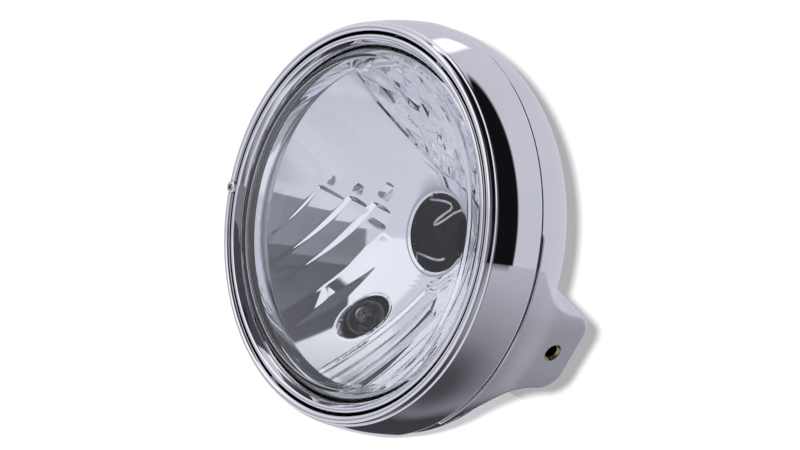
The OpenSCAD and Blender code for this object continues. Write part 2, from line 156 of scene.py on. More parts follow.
def finished_mesh(name: str, mesh: bpy.types.Mesh, sharp_deg: float) -> bpy.types.Object:
    """Turns a raw mesh into an object with outward faces, smooth shading and sharp edges.

    Args:
        name: Name of the piece.
        mesh: Mesh in metres, already in place.
        sharp_deg: Edges that bend by more than this are sharp.

    Returns:
        The new object, linked to the scene.
    """
    work = bmesh.new()
    work.from_mesh(mesh)
    bmesh.ops.remove_doubles(work, verts=work.verts, dist=1e-7)
    bmesh.ops.dissolve_degenerate(work, edges=work.edges, dist=1e-8)
    bmesh.ops.recalc_face_normals(work, faces=work.faces)
    for face in work.faces:
        face.smooth = True
    limit = math.radians(sharp_deg)
    for edge in work.edges:
        edge.smooth = not edge.is_manifold or edge.calc_face_angle(0.0) < limit
    work.to_mesh(mesh)
    work.free()
    mesh.update()
    piece = bpy.data.objects.new(name, mesh)
    bpy.context.collection.objects.link(piece)
    return piece


def grid_mesh(name: str, grid: np.ndarray, corners: Sequence[int] = (0, 1, 2, 3)) -> bpy.types.Mesh:
    """Mesh of a grid of points that closes on itself both ways.

    Args:
        name: Name of the mesh.
        grid: Points in millimetres, as rows by columns by three.
        corners: Order of the four corners of each face.

    Returns:
        The mesh in metres, in its place.
    """
    rows, columns = grid.shape[:2]
    i, j = np.meshgrid(np.arange(rows), np.arange(columns), indexing="ij")
    ni, nj = (i + 1) % rows, (j + 1) % columns
    faces = np.stack([i * columns + j, ni * columns + j, ni * columns + nj, i * columns + nj], axis=-1)
    faces = faces[..., list(corners)]
    mesh = bpy.data.meshes.new(name)
    mesh.from_pydata(placed(grid.reshape(-1, 3)).tolist(), [], faces.reshape(-1, 4).tolist())
    return mesh


def turned(name: str, profile: Sequence[Point], segments: int,
           sharp_deg: float = SHEET_SHARP_DEG) -> bpy.types.Object:
    """Piece turned round the lamp axis.

    Args:
        name: Name of the piece.
        profile: Closed profile as radius and depth behind the shoulder, in millimetres.
        segments: Steps round the axis.
        sharp_deg: Edges that bend by more than this are sharp.

    Returns:
        The piece.
    """
    points = np.array(without_repeats(list(profile)))
    angles = np.linspace(0, 2 * math.pi, segments, endpoint=False)
    grid = np.empty((segments, len(points), 3))
    grid[:, :, 0] = np.cos(angles)[:, None] * points[None, :, 0]
    grid[:, :, 1] = points[None, :, 1]
    grid[:, :, 2] = np.sin(angles)[:, None] * points[None, :, 0]
    return finished_mesh(name, grid_mesh(name, grid), sharp_deg)


def combined(piece: bpy.types.Object, tool: bpy.types.Object, operation: str) -> None:
    """Joins, cuts or trims a piece with another closed piece, which is used up.

    Args:
        piece: Piece that changes.
        tool: Piece to combine it with.
        operation: UNION, DIFFERENCE or INTERSECT.
    """
    modifier = piece.modifiers.new("combine", "BOOLEAN")
    modifier.operation = operation
    modifier.solver = "EXACT"
    modifier.object = tool
    baked(piece)
    bpy.data.objects.remove(tool)


def baked(piece: bpy.types.Object) -> None:
    """Turns a piece's modifiers into plain mesh."""
    graph = bpy.context.evaluated_depsgraph_get()
    mesh = bpy.data.meshes.new_from_object(piece.evaluated_get(graph))
    piece.modifiers.clear()
    piece.data = mesh


def rod(name: str, place: Vector, radius: float, length: float, segments: int = 48) -> bpy.types.Object:
    """Plain cylinder along the lamp axis, used to cut or to fill.

    Args:
        name: Name of the tool.
        place: Middle of its front face, counted from the shoulder, in millimetres.
        radius: Radius in millimetres.
        length: Length in millimetres.
        segments: Steps round it.

    Returns:
        The cylinder.
    """
    work = bmesh.new()
    bmesh.ops.create_cone(work, cap_ends=True, segments=segments, radius1=radius, radius2=radius,
                          depth=length)
    lying = Matrix.Rotation(math.pi / 2, 4, "X")
    turn = Matrix.Translation((place.x, place.y + length / 2, place.z)) @ lying
    bmesh.ops.transform(work, matrix=turn, verts=work.verts)
    bmesh.ops.translate(work, verts=work.verts, vec=(0, -SHOULDER_MM, 0))
    bmesh.ops.scale(work, verts=work.verts, vec=(MM, MM, MM))
    return finished_mesh(name, mesh_of(name, work), TOOL_SHARP_DEG)


def mesh_of(name: str, work: bmesh.types.BMesh) -> bpy.types.Mesh:
    """Plain mesh with the content of a working mesh, which is used up."""
    mesh = bpy.data.meshes.new(name)
    work.to_mesh(mesh)
    work.free()
    return mesh


def cross_rod(name: str, place: tuple[float, float, float], radius: float, length: float,
              axis: str) -> bpy.types.Object:
    """Cylinder across the lamp axis, used to cut.

    Args:
        name: Name of the tool.
        place: Its middle, counted from the shoulder, in millimetres.
        radius: Radius in millimetres.
        length: Length in millimetres.
        axis: Axis that it is turned about by a right angle, X or Z.

    Returns:
        The cylinder.
    """
    tool = rod(name, Vector((0, 0, 0)), radius, length)
    turn = Matrix.Rotation(math.pi / 2, 4, axis)
    middle = Vector((0, (length / 2 - SHOULDER_MM) * MM, 0))
    target = Vector((place[0] * MM, (place[1] - SHOULDER_MM) * MM, place[2] * MM))
    tool.data.transform(Matrix.Translation(target) @ turn @ Matrix.Translation(-middle))
    return tool


# Shader groups and finishes


def group_socket(tree: bpy.types.NodeTree, name: str, into: bool,
                 kind: str) -> bpy.types.NodeTreeInterfaceSocket:
    """Adds a socket to a node group.

    Args:
        tree: The group.
        name: Name of the socket.
        into: True for an input, False for an output.
        kind: Socket type without its first words, such as Float.

    Returns:
        The socket.
    """
    way = "INPUT" if into else "OUTPUT"
    return tree.interface.new_socket(name=name, in_out=way, socket_type="NodeSocket" + kind)


def added(tree: bpy.types.NodeTree, kind: str, **settings: object) -> bpy.types.Node:
    """A new node with its settings.

    Args:
        tree: Tree that gets the node.
        kind: Type of the node.
        settings: Properties of the node, by name.

    Returns:
        The node.
    """
    node = tree.nodes.new(kind)
    for key, value in settings.items():
        setattr(node, key, value)
    return node


def marks_group() -> bpy.types.NodeTree:
    """Soft clouds and fine specks that all smooth surfaces of the lamp show, with a height made of both.

    Returns:
        The group, with the outputs Clouds, Specks and Height.
    """
    name = "surface marks"
    if name in bpy.data.node_groups:
        return bpy.data.node_groups[name]
    tree = bpy.data.node_groups.new(name, "ShaderNodeTree")
    for label, value in (("Cloud Scale", 22.0), ("Speck Scale", 420.0), ("Speck Share", 0.3)):
        group_socket(tree, label, True, "Float").default_value = value
    for label in ("Clouds", "Specks", "Height"):
        group_socket(tree, label, False, "Float")
    link = tree.links.new
    inputs = added(tree, "NodeGroupInput")
    outputs = added(tree, "NodeGroupOutput")
    place = added(tree, "ShaderNodeTexCoord")
    clouds = added(tree, "ShaderNodeTexNoise")
    clouds.inputs["Roughness"].default_value = 0.55
    specks = added(tree, "ShaderNodeTexNoise")
    for node, scale, detail in ((clouds, "Cloud Scale", 4.0), (specks, "Speck Scale", 2.0)):
        node.inputs["Detail"].default_value = detail
        link(place.outputs["Object"], node.inputs["Vector"])
        link(inputs.outputs[scale], node.inputs["Scale"])
    spread = added(tree, "ShaderNodeMapRange", interpolation_type="SMOOTHSTEP")
    spread.inputs["From Min"].default_value = 0.38
    spread.inputs["From Max"].default_value = 0.66
    link(clouds.outputs["Fac"], spread.inputs["Value"])
    least = added(tree, "ShaderNodeMath", operation="SUBTRACT")
    least.inputs[0].default_value = 1.0
    link(inputs.outputs["Speck Share"], least.inputs[1])
    cut = added(tree, "ShaderNodeMapRange", interpolation_type="SMOOTHSTEP")
    cut.inputs["From Max"].default_value = 0.82
    link(specks.outputs["Fac"], cut.inputs["Value"])
    link(least.outputs[0], cut.inputs["From Min"])
    both = added(tree, "ShaderNodeMath", operation="ADD")
    link(clouds.outputs["Fac"], both.inputs[0])
    link(specks.outputs["Fac"], both.inputs[1])
    link(spread.outputs["Result"], outputs.inputs["Clouds"])
    link(cut.outputs["Result"], outputs.inputs["Specks"])
    link(both.outputs[0], outputs.inputs["Height"])
    return tree


@dataclass(frozen=True)
class Finish:
    """What all finishes share: two tones, a roughness that varies and a fine relief.

    Attributes:
        name: Name of the material.
        slot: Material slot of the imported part.
        tone: Main colour.
        second: Colour of the soft clouds.
        metallic: Share of metal.
        rough: Roughness of the clean surface.
        rough_more: Roughness that the specks add.
        cloud_scale: How close together the clouds are.
        speck_scale: How close together the specks are.
        speck_share: How much of the surface has specks.
        relief_mm: Height of the fine relief.
    """

    name: str
    slot: str
    tone: Colour
    second: Colour
    metallic: float = 0.0
    rough: float = 0.3
    rough_more: float = 0.1
    cloud_scale: float = 22.0
    speck_scale: float = 420.0
    speck_share: float = 0.35
    relief_mm: float = 0.0

    def material(self) -> bpy.types.Material:
        """The material of this finish, made once.

        Returns:
            The material.
        """
        if self.name in bpy.data.materials:
            return bpy.data.materials[self.name]
        material = bpy.data.materials.new(self.name)
        material.use_nodes = True
        tree = material.node_tree
        shader = tree.nodes["Principled BSDF"]
        link = tree.links.new
        marks = added(tree, "ShaderNodeGroup", node_tree=marks_group())
        marks.inputs["Cloud Scale"].default_value = self.cloud_scale
        marks.inputs["Speck Scale"].default_value = self.speck_scale
        marks.inputs["Speck Share"].default_value = self.speck_share
        blend = added(tree, "ShaderNodeMix", data_type="RGBA")
        blend.inputs["A"].default_value = (*self.tone, 1)
        blend.inputs["B"].default_value = (*self.second, 1)
        link(marks.outputs["Clouds"], blend.inputs["Factor"])
        link(blend.outputs["Result"], shader.inputs["Base Color"])
        rough = added(tree, "ShaderNodeMath", operation="MULTIPLY_ADD", use_clamp=True)
        rough.inputs[1].default_value = self.rough_more
        rough.inputs[2].default_value = self.rough
        link(marks.outputs["Specks"], rough.inputs[0])
        link(rough.outputs[0], shader.inputs["Roughness"])
        if self.relief_mm > 0:
            bump = added(tree, "ShaderNodeBump")
            bump.inputs["Strength"].default_value = 1.0
            bump.inputs["Distance"].default_value = self.relief_mm * MM
            link(marks.outputs["Height"], bump.inputs["Height"])
            link(bump.outputs["Normal"], shader.inputs["Normal"])
        shader.inputs["Metallic"].default_value = self.metallic
        self.dress(tree, shader)
        return material

    def dress(self, tree: bpy.types.NodeTree, shader: bpy.types.Node) -> None:
        """Sets what only this kind of finish has.

        Args:
            tree: The material's nodes, not used here.
            shader: Its principled shader.
        """
        shader.inputs["IOR"].default_value = 1.5

    def put_on(self, *pieces: bpy.types.Object) -> None:
        """Gives pieces this finish in all their material slots.

        Args:
            pieces: Objects to dress.
        """
        material = self.material()
        for piece in pieces:
            if not piece.data.materials:
                piece.data.materials.append(material)
            for place in piece.material_slots:
                place.material = material


@dataclass(frozen=True)
class Glass(Finish):
    """Clear glass with a refraction of its own."""

    ior: float = 1.5

    def dress(self, tree: bpy.types.NodeTree, shader: bpy.types.Node) -> None:
        """Makes the glass clear.

        Args:
            tree: The material's nodes, not used here.
            shader: Its principled shader.
        """
        shader.inputs["IOR"].default_value = self.ior
        shader.inputs["Transmission Weight"].default_value = 1.0


@dataclass(frozen=True)
class Rubber(Finish):
    """Soft black or grey rubber with a dull sheen."""

    sheen: float = 0.25

    def dress(self, tree: bpy.types.NodeTree, shader: bpy.types.Node) -> None:
        """Adds the dull sheen.

        Args:
            tree: The material's nodes, not used here.
            shader: Its principled shader.
        """
        shader.inputs["IOR"].default_value = 1.45
        shader.inputs["Sheen Weight"].default_value = self.sheen
        shader.inputs["Sheen Roughness"].default_value = 0.6


CHROME = Finish(
    "chrome", "chrome_shell", (0.83, 0.83, 0.86), (0.79, 0.79, 0.83), metallic=1.0, rough=0.035,
    rough_more=0.03)
RING_CHROME = Finish(
    "ring chrome", "chrome_ring", (0.84, 0.84, 0.87), (0.80, 0.80, 0.84), metallic=1.0, rough=0.025,
    rough_more=0.03)
SCREW_CHROME = Finish(
    "screw chrome", "chrome_screw", (0.74, 0.74, 0.77), (0.55, 0.55, 0.58), metallic=1.0, rough=0.16,
    rough_more=0.2, cloud_scale=180.0, speck_scale=1400.0, speck_share=0.4, relief_mm=0.01)
MIRROR = Finish(
    "metallised", "metallised", (0.90, 0.90, 0.93), (0.87, 0.87, 0.90), metallic=1.0, rough=0.03,
    rough_more=0.05, cloud_scale=30.0, speck_scale=260.0, speck_share=0.4)
LENS_GLASS = Glass(
    "lens glass", "clear_glass", (0.985, 0.99, 1.0), (0.97, 0.98, 0.995), rough=0.0, rough_more=0.02,
    cloud_scale=12.0, speck_scale=300.0)
BULB_GLASS = Glass(
    "bulb glass", "bulb_glass", (0.93, 0.94, 0.95), (0.80, 0.81, 0.83), rough=0.02, rough_more=0.1,
    cloud_scale=140.0, speck_scale=900.0)
BLACK_RUBBER = Rubber(
    "black rubber", "black_rubber", (0.030, 0.030, 0.033), (0.060, 0.060, 0.066), rough=0.55, rough_more=0.25,
    cloud_scale=60.0, speck_scale=1500.0, speck_share=0.5, relief_mm=0.03)
GREY_RUBBER = Rubber(
    "grey rubber", "grey_rubber", (0.17, 0.17, 0.18), (0.24, 0.24, 0.25), rough=0.5, rough_more=0.2,
    cloud_scale=60.0, speck_scale=1200.0, speck_share=0.5, relief_mm=0.02)
GREY_PLASTIC = Finish(
    "grey plastic", "grey_plastic", (0.10, 0.10, 0.11), (0.16, 0.16, 0.175), rough=0.32, rough_more=0.2,
    cloud_scale=90.0, speck_scale=1300.0, speck_share=0.5, relief_mm=0.01)
ZINC = Finish(
    "zinc steel", "zinc_steel", (0.60, 0.61, 0.63), (0.47, 0.48, 0.50), metallic=1.0, rough=0.26,
    rough_more=0.2, cloud_scale=130.0, speck_scale=1100.0, speck_share=0.5, relief_mm=0.01)
YELLOW_ZINC = Finish(
    "yellow zinc", "yellow_zinc", (0.56, 0.42, 0.17), (0.40, 0.32, 0.17), metallic=1.0, rough=0.24,
    rough_more=0.2, cloud_scale=260.0, speck_scale=1300.0, speck_share=0.5, relief_mm=0.01)
SPRING = Finish(
    "spring steel", "spring_steel", (0.66, 0.66, 0.68), (0.50, 0.50, 0.53), metallic=1.0, rough=0.18,
    rough_more=0.15, cloud_scale=240.0, speck_scale=1500.0, speck_share=0.5, relief_mm=0.005)
NYLON = Finish(
    "white nylon", "white_nylon", (0.80, 0.80, 0.77), (0.70, 0.69, 0.65), rough=0.42, rough_more=0.15,
    cloud_scale=120.0, speck_scale=900.0, speck_share=0.5, relief_mm=0.01)


def node_piece(name: str) -> bpy.types.Object:
    """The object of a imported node."""
    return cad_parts[name]


def stand_in(piece: bpy.types.Object, body: Body, finish: Finish, *nodes: str) -> bpy.types.Object:
    """Dresses a piece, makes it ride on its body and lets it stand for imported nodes.

    Args:
        piece: The new piece.
        body: Body that carries it.
        finish: Its finish.
        nodes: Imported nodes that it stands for.

    Returns:
        The piece.
    """
    finish.put_on(piece)
    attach(piece, body.value)
    if nodes:
        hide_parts(*nodes)
    LOG.info("piece %s on %s stands for %s", piece.name, body.value, ", ".join(nodes) or "nothing")
    return piece


# Sub-assemblies


@dataclass
class RingSizes:
    """Sizes of the trim ring in millimetres, counted from its shoulder.

    Attributes:
        shoulder_r: Radius of the shoulder between the bead's groove and the side band.
        flare: How much wider the band is at its rear edge.
        band_len: Length of the band.
        bead_h: Height of the bead in front of the shoulder.
        bead_w: Width of the bead.
        bead_wall: Thickness of the bead's sheet.
        bore_in: How far the front bore lies inside the shoulder.
        lip_len: Length of the lip that goes back from the bore.
        wall: Thickness of the band's sheet.
        step_w: Width of the rounded step outside the groove.
        step_y: Depth of the middle of its rounding.
        step_r: Radius of its rounding.
        groove_gap: Distance of the groove's middle from the bead.
        groove_y: Depth of the groove's middle.
        groove_r: Radius of the groove.
        hem_r: Radius of the hem at the rear edge.
        hem_lap: How far the hem's inner edge lies from the hem's middle.
        band_out: How far the band begins outside the shoulder.
        band_start: Depth where the band begins.
        swell: How much the band bulges in its middle.
        inner_start: Depth where the inside of the band begins.
        shelf: Inner corner behind the step, as distance inside it and depth.
        root: Inner corner at the bead's foot, in the same way.
    """

    shoulder_r: float = 95.0
    flare: float = 3.9
    band_len: float = 24.0
    bead_h: float = 4.5
    bead_w: float = 3.8
    bead_wall: float = 0.8
    bore_in: float = 4.6
    lip_len: float = 4.5
    wall: float = 1.2
    step_w: float = 0.6
    step_y: float = -0.4
    step_r: float = 1.0
    groove_gap: float = 0.45
    groove_y: float = -1.75
    groove_r: float = 0.36
    hem_r: float = 1.0
    hem_lap: float = 0.4
    band_out: float = 0.5
    band_start: float = 0.4
    swell: float = 0.6
    inner_start: float = 0.8
    shelf: Point = (0.3, 0.2)
    root: Point = (0.9, -0.6)

    @property
    def lip_r(self) -> float:
        """Radius of the bore in front."""
        return self.shoulder_r - self.bore_in

    @property
    def band_r(self) -> float:
        """Radius of the rear edge."""
        return self.shoulder_r + self.flare

    def band_at(self, y: float) -> float:
        """Outer radius of the side band at a depth."""
        share = y / self.band_len
        straight = self.shoulder_r + self.band_out + (self.flare - self.band_out) * share
        return straight + self.swell * math.sin(math.pi * share)

    def outside(self) -> list[Point]:
        """Outer profile from the end of the lip to the hem."""
        bead = self.bead_w / 2
        end = self.band_len - self.hem_r
        return (
            line((self.lip_r, self.lip_len), (self.lip_r, bead - self.bead_h), 4)
            + arc((self.lip_r + bead, bead - self.bead_h), bead, 180, 338, 26)
            + arc((self.lip_r + self.bead_w + self.groove_gap, self.groove_y), self.groove_r, 165, 90, 5)
            + arc((self.shoulder_r - self.step_w, self.step_y), self.step_r, 270, 352, 12)
            + [(self.band_at(y), y) for y in np.linspace(self.band_start, end, 26)]
            + arc((self.band_r - self.hem_r, end), self.hem_r, 2, 90, 8)
        )

    def inside(self) -> list[Point]:
        """Inner profile from the hem back to the lip."""
        bead = self.bead_w / 2
        end = self.band_len - self.hem_r
        depths = np.linspace(end - self.hem_lap, self.inner_start, 12)
        return (
            [(self.band_r - 2 * self.wall, end + self.hem_lap)]
            + [(self.band_at(y) - self.wall, y) for y in depths]
            + [(self.shoulder_r - self.step_w - self.shelf[0], self.shelf[1])]
            + [(self.lip_r + self.bead_w - self.root[0], self.root[1])]
            + arc((self.lip_r + bead, bead - self.bead_h), bead - self.bead_wall, 340, 180, 10)
            + [(self.lip_r + self.wall, self.lip_len)]
        )


@dataclass
class AimSizes:
    """Place and sizes of the aiming screw, in millimetres and degrees.

    Attributes:
        deg: Angle of the screw round the lamp axis.
        radius: Distance of the screw from the lamp axis.
        head_d: Width that the pocket is made for.
        shank_d: Thickness of the screw.
        play: Room round the screw in the ring.
        pocket_y: Depth of the pocket's floor.
    """

    deg: float = 203.5
    radius: float = 92.4
    head_d: float = 6.0
    shank_d: float = 3.0
    play: float = 0.35
    pocket_y: float = -0.4

    @property
    def place(self) -> Vector:
        """The screw's axis where it crosses the plane of the shoulder."""
        turn = math.radians(self.deg)
        return Vector((self.radius * math.cos(turn), 0.0, self.radius * math.sin(turn)))


@dataclass
class TrimRing:
    """Chromed outer ring with its bead, side band and the pocket of the aiming screw.

    Attributes:
        sizes: Sizes of the ring.
        aim: Place and sizes of the screw.
        segments: Steps round the axis.
        pocket_gap: Room round the screw's head.
        cup_wall: Thickness of the metal round the pocket.
        notch_r: Radius of the notch in the lip behind the pocket.
    """

    sizes: RingSizes = field(default_factory=RingSizes)
    aim: AimSizes = field(default_factory=AimSizes)
    segments: int = 480
    pocket_gap: float = 0.5
    cup_wall: float = 0.9
    notch_r: float = 2.6

    def build(self) -> bpy.types.Object:
        """Makes the ring and sinks the screw's pocket into its bead.

        Returns:
            The ring.
        """
        s, aim = self.sizes, self.aim
        ring = turned("ring_sheet", s.outside() + s.inside(), self.segments)
        body = s.outside() + [(s.band_r - s.hem_r, s.lip_len)]
        front = Vector((aim.place.x, -s.bead_h - PAST_MM, aim.place.z))
        pocket_r = aim.head_d / 2 + self.pocket_gap
        floor = aim.pocket_y + s.wall
        cup = rod("cup", front, pocket_r + self.cup_wall, floor - front.y)
        combined(cup, turned("ring_body", body, self.segments), "INTERSECT")
        combined(ring, cup, "UNION")
        behind = Vector((front.x, floor, front.z))
        for tool in (rod("pocket", front, pocket_r, aim.pocket_y - front.y),
                     rod("bore", front, aim.shank_d / 2 + aim.play, floor + PAST_MM - front.y),
                     rod("notch", behind, self.notch_r, s.lip_len + PAST_MM - floor)):
            combined(ring, tool, "DIFFERENCE")
        piece = finished_mesh("trim_ring_sheet", ring.data.copy(), SHEET_SHARP_DEG)
        bpy.data.objects.remove(ring)
        return stand_in(piece, Body.HOUSING, RING_CHROME, "trim_ring")


@dataclass
class AimScrew:
    """Cross-head screw in the face of the ring that swings the optic unit.

    Attributes:
        sizes: Place and sizes of the screw.
        head_r: Radius of the head.
        top_y: Depth of the top of the head.
        dome_h: Height of the head's domed part.
        tip: Chamfer at the screw's end, across and along.
        slot_w: Width of the cross recess.
        slot_half: Half the length of its arms.
        slot_deep: Depth of the recess.
        slot_turn: Turn of the first arm, in radians.
    """

    sizes: AimSizes = field(default_factory=AimSizes)
    head_r: float = 3.3
    top_y: float = -4.7
    dome_h: float = 1.4
    tip: Point = (0.4, 0.5)
    slot_w: float = 0.9
    slot_half: float = 1.9
    slot_deep: float = 1.5
    slot_turn: float = 0.35

    def build(self) -> bpy.types.Object:
        """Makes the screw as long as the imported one.

        Returns:
            The screw.
        """
        packed = node_piece("aim_screw")
        end = max((packed.matrix_world @ Vector(c)).y for c in packed.bound_box) / MM + SHOULDER_MM
        r, shank, seat = self.head_r, self.sizes.shank_d / 2, self.sizes.pocket_y
        dome = [(r * math.sin(t), self.top_y + self.dome_h * (1 - math.cos(t)))
                for t in np.linspace(0.03, math.pi / 2, 12)]
        stem = [(r, seat), (shank, seat), (shank, end - self.tip[1]), (shank - self.tip[0], end),
                (AXIS_R, end)]
        screw = turned("aim_raw", dome + stem, 64)
        size = (2 * self.slot_half * MM, 2 * self.slot_deep * MM, self.slot_w * MM)
        for turn in (self.slot_turn, self.slot_turn + math.pi / 2):
            work = bmesh.new()
            bmesh.ops.create_cube(work, size=1.0)
            bmesh.ops.scale(work, verts=work.verts, vec=size)
            bmesh.ops.rotate(work, verts=work.verts, matrix=Matrix.Rotation(turn, 3, "Y"))
            bmesh.ops.translate(work, verts=work.verts, vec=(0, (self.top_y - SHOULDER_MM) * MM, 0))
            combined(screw, finished_mesh("slot", mesh_of("slot", work), TOOL_SHARP_DEG), "DIFFERENCE")
        mesh = screw.data.copy()
        mesh.transform(Matrix.Translation(self.sizes.place * MM))
        bpy.data.objects.remove(screw)
        piece = finished_mesh("aim_cross_screw", mesh, SHEET_SHARP_DEG)
        return stand_in(piece, Body.AIM, SCREW_CHROME, "aim_screw")


@dataclass
class OpticSizes:
    """Sizes of the inner ring and of the glass's edge, in millimetres.

    Attributes:
        ring_r: Outer radius of the ring.
        crest_r: Radius of its rounded crest.
        crest_y: Depth of the crest.
        wall: Thickness of the ring.
        aperture_r: Radius of the opening that shows the glass.
        ledge_y: Depth of the ledge in front of the glass.
        skirt_end: Depth of the ring's rear edge.
        glass_r: Radius of the glass's edge.
        glass_y: Depth of the front of the glass's edge.
        glass_t: Thickness of the glass's edge.
    """

    ring_r: float = 89.2
    crest_r: float = 1.5
    crest_y: float = -3.9
    wall: float = 1.2
    aperture_r: float = 84.4
    ledge_y: float = 1.0
    skirt_end: float = 10.0
    glass_r: float = 86.8
    glass_y: float = 2.0
    glass_t: float = 3.5

    @property
    def glass_back(self) -> float:
        """Depth of the back of the glass at its edge."""
        return self.glass_y + self.glass_t


@dataclass
class OpticRing:
    """Chromed inner ring that holds the glass, with the lug of the aiming nut.

    Attributes:
        sizes: Sizes of the ring.
        aim: Place and sizes of the aiming screw.
        segments: Steps round the axis.
        slope: Ends of the sloping face inside the crest, as distance outside the opening and depth.
        edge_at: Middle of the rounded edge at the opening, in the same way.
        edge_r: Radius of that edge.
        lug_y: Depths of the front and the back of the lug.
        lug_r: Outer radius of the lug.
        lug_sink: How far the lug reaches into the ring.
        lug_half_deg: Half the angle that the lug takes up.
        nut_play: Room round the screw in the lug.
        nut_len: Length of the tool that cuts the lug's bore.
        pivot_y: Depth of the pivots.
        pivot_r: Radius of their bores.
        pivot_len: Length of the tool that cuts a pivot's bore.
    """

    sizes: OpticSizes = field(default_factory=OpticSizes)
    aim: AimSizes = field(default_factory=AimSizes)
    segments: int = 480
    slope: tuple[Point, Point] = ((0.95, -1.5), (0.25, -0.75))
    edge_at: Point = (0.6, -0.3)
    edge_r: float = 0.55
    lug_y: Point = (8.6, 10.0)
    lug_r: float = 94.7
    lug_sink: float = 0.6
    lug_half_deg: float = 4.0
    nut_play: float = 0.65
    nut_len: float = 6.0
    pivot_y: float = 1.5
    pivot_r: float = 1.68
    pivot_len: float = 8.0

    def lug(self) -> bpy.types.Object:
        """Makes the block that holds the aiming nut."""
        turns = [math.radians(self.aim.deg + self.lug_half_deg * t) for t in (-1, -0.5, 0, 0.5, 1)]
        root_r = self.sizes.ring_r - self.lug_sink
        work = bmesh.new()
        loops = []
        for y in self.lug_y:
            points = [(self.lug_r, t) for t in turns] + [(root_r, t) for t in reversed(turns)]
            flat = np.array([(r * math.cos(t), y, r * math.sin(t)) for r, t in points])
            loops.append([work.verts.new(p) for p in placed(flat)])
        count = len(loops[0])
        for k in range(count):
            work.faces.new([loops[0][k], loops[0][(k + 1) % count], loops[1][(k + 1) % count], loops[1][k]])
        work.faces.new(loops[0])
        work.faces.new(loops[1])
        return finished_mesh("lug", mesh_of("lug", work), TOOL_SHARP_DEG)

    def build(self) -> bpy.types.Object:
        """Makes the ring.

        Returns:
            The ring.
        """
        s = self.sizes
        inner = s.ring_r - s.wall
        crest = (s.ring_r - s.crest_r, s.crest_y + s.crest_r)
        first, last = ((s.aperture_r + across, y) for across, y in self.slope)
        edge = (s.aperture_r + self.edge_at[0], self.edge_at[1])
        profile = (
            line((s.ring_r, s.skirt_end), (s.ring_r, crest[1]), 3)
            + arc(crest, s.crest_r, 0, -150, 26)
            + line(first, last, 3)
            + arc(edge, self.edge_r, 225, 180, 4)
            + [(s.aperture_r, s.ledge_y), (inner, s.ledge_y), (inner, s.skirt_end)]
        )
        ring = turned("optic_ring_raw", profile, self.segments)
        combined(ring, self.lug(), "UNION")
        start = self.aim.place + Vector((0, self.lug_y[0] - 2 * PAST_MM, 0))
        nut_bore = rod("nut bore", start, self.aim.shank_d / 2 + self.nut_play, self.nut_len)
        combined(ring, nut_bore, "DIFFERENCE")
        for side in (-1, 1):
            place = (0.0, self.pivot_y, side * s.ring_r)
            combined(ring, cross_rod("pivot bore", place, self.pivot_r, self.pivot_len, "X"), "DIFFERENCE")
        piece = finished_mesh("optic_ring_sheet", ring.data.copy(), SHEET_SHARP_DEG)
        bpy.data.objects.remove(ring)
        return stand_in(piece, Body.OPTIC, RING_CHROME, "optic_ring")


@dataclass
class Lens:
    """Clear glass shaped like a shallow pan: a domed front, a tight bend and a steep border.

    Attributes:
        sizes: Sizes of the edge and of the ring's opening.
        top_y: Depth of the top of the dome.
        border_r: Radius where the border begins.
        border_y: Depth of the dome there.
        bend_r: Outer radius of the bend.
        border_deg: Slope of the border.
        thickness: Thickness of the dome.
        rim_in: How far the border ends inside the opening.
        back_in: How much earlier the bend begins at the back.
        back_bend_r: Radius of the bend at the back.
        back_rim_in: How far the back's border ends inside the opening.
        flange_in: How far the flange begins inside the opening.
        end_gap: Points of the back's border that are closer to its end than this are left out.
    """

    sizes: OpticSizes = field(default_factory=OpticSizes)
    top_y: float = -8.4
    border_r: float = 78.6
    border_y: float = -4.0
    bend_r: float = 2.0
    border_deg: float = 50.0
    thickness: float = 3.2
    rim_in: float = 0.5
    back_in: float = 0.9
    back_bend_r: float = 1.4
    back_rim_in: float = 3.2
    flange_in: float = 0.45
    end_gap: float = 0.2

    def dome(self, r: float) -> float:
        """Depth of the front of the dome at a radius inside the border."""
        return self.top_y + (self.border_y - self.top_y) * (r / self.border_r) ** 2

    def outline(self, start: Point, slope: float, bend: float, rim_r: float) -> list[Point]:
        """Bend and steep border of one face of the glass.

        Args:
            start: Where the dome ends.
            slope: Angle of the dome there, in radians.
            bend: Radius of the bend.
            rim_r: Radius where the border ends.

        Returns:
            The points, from the dome outwards.
        """
        steep = math.radians(self.border_deg)
        turns = np.linspace(slope, steep, 11)
        points = [(start[0] + bend * (math.sin(t) - math.sin(slope)),
                   start[1] + bend * (math.cos(slope) - math.cos(t))) for t in turns]
        last = points[-1]
        end = (rim_r, last[1] + (rim_r - last[0]) * math.tan(steep))
        return points + line(last, end, 4)[1:]

    def build(self) -> bpy.types.Object:
        """Makes the glass.

        Returns:
            The glass.
        """
        s = self.sizes
        slope = math.atan(2 * (self.border_y - self.top_y) / self.border_r)
        front = [(r, self.dome(r)) for r in np.linspace(AXIS_R, self.border_r, 40)]
        rim_r = s.aperture_r - self.rim_in
        front += self.outline((self.border_r, self.border_y), slope, self.bend_r, rim_r)[1:]
        back_r = self.border_r - self.back_in
        start = (back_r, self.dome(back_r) + self.thickness)
        inside = self.outline(start, slope, self.back_bend_r, s.aperture_r - self.back_rim_in)
        before = s.glass_back - self.end_gap
        inside = [p for p in inside if p[1] < before] + [(inside[-1][0], s.glass_back)]
        back = [(r, self.dome(r) + self.thickness) for r in np.linspace(back_r, AXIS_R, 40)]
        flange = [(s.aperture_r - self.flange_in, s.glass_y), (s.glass_r, s.glass_y),
                  (s.glass_r, s.glass_back)]
        piece = turned("lens_glass", front + flange + inside[::-1] + back[1:], 360, 40)
        return stand_in(piece, Body.OPTIC, LENS_GLASS, "lens")


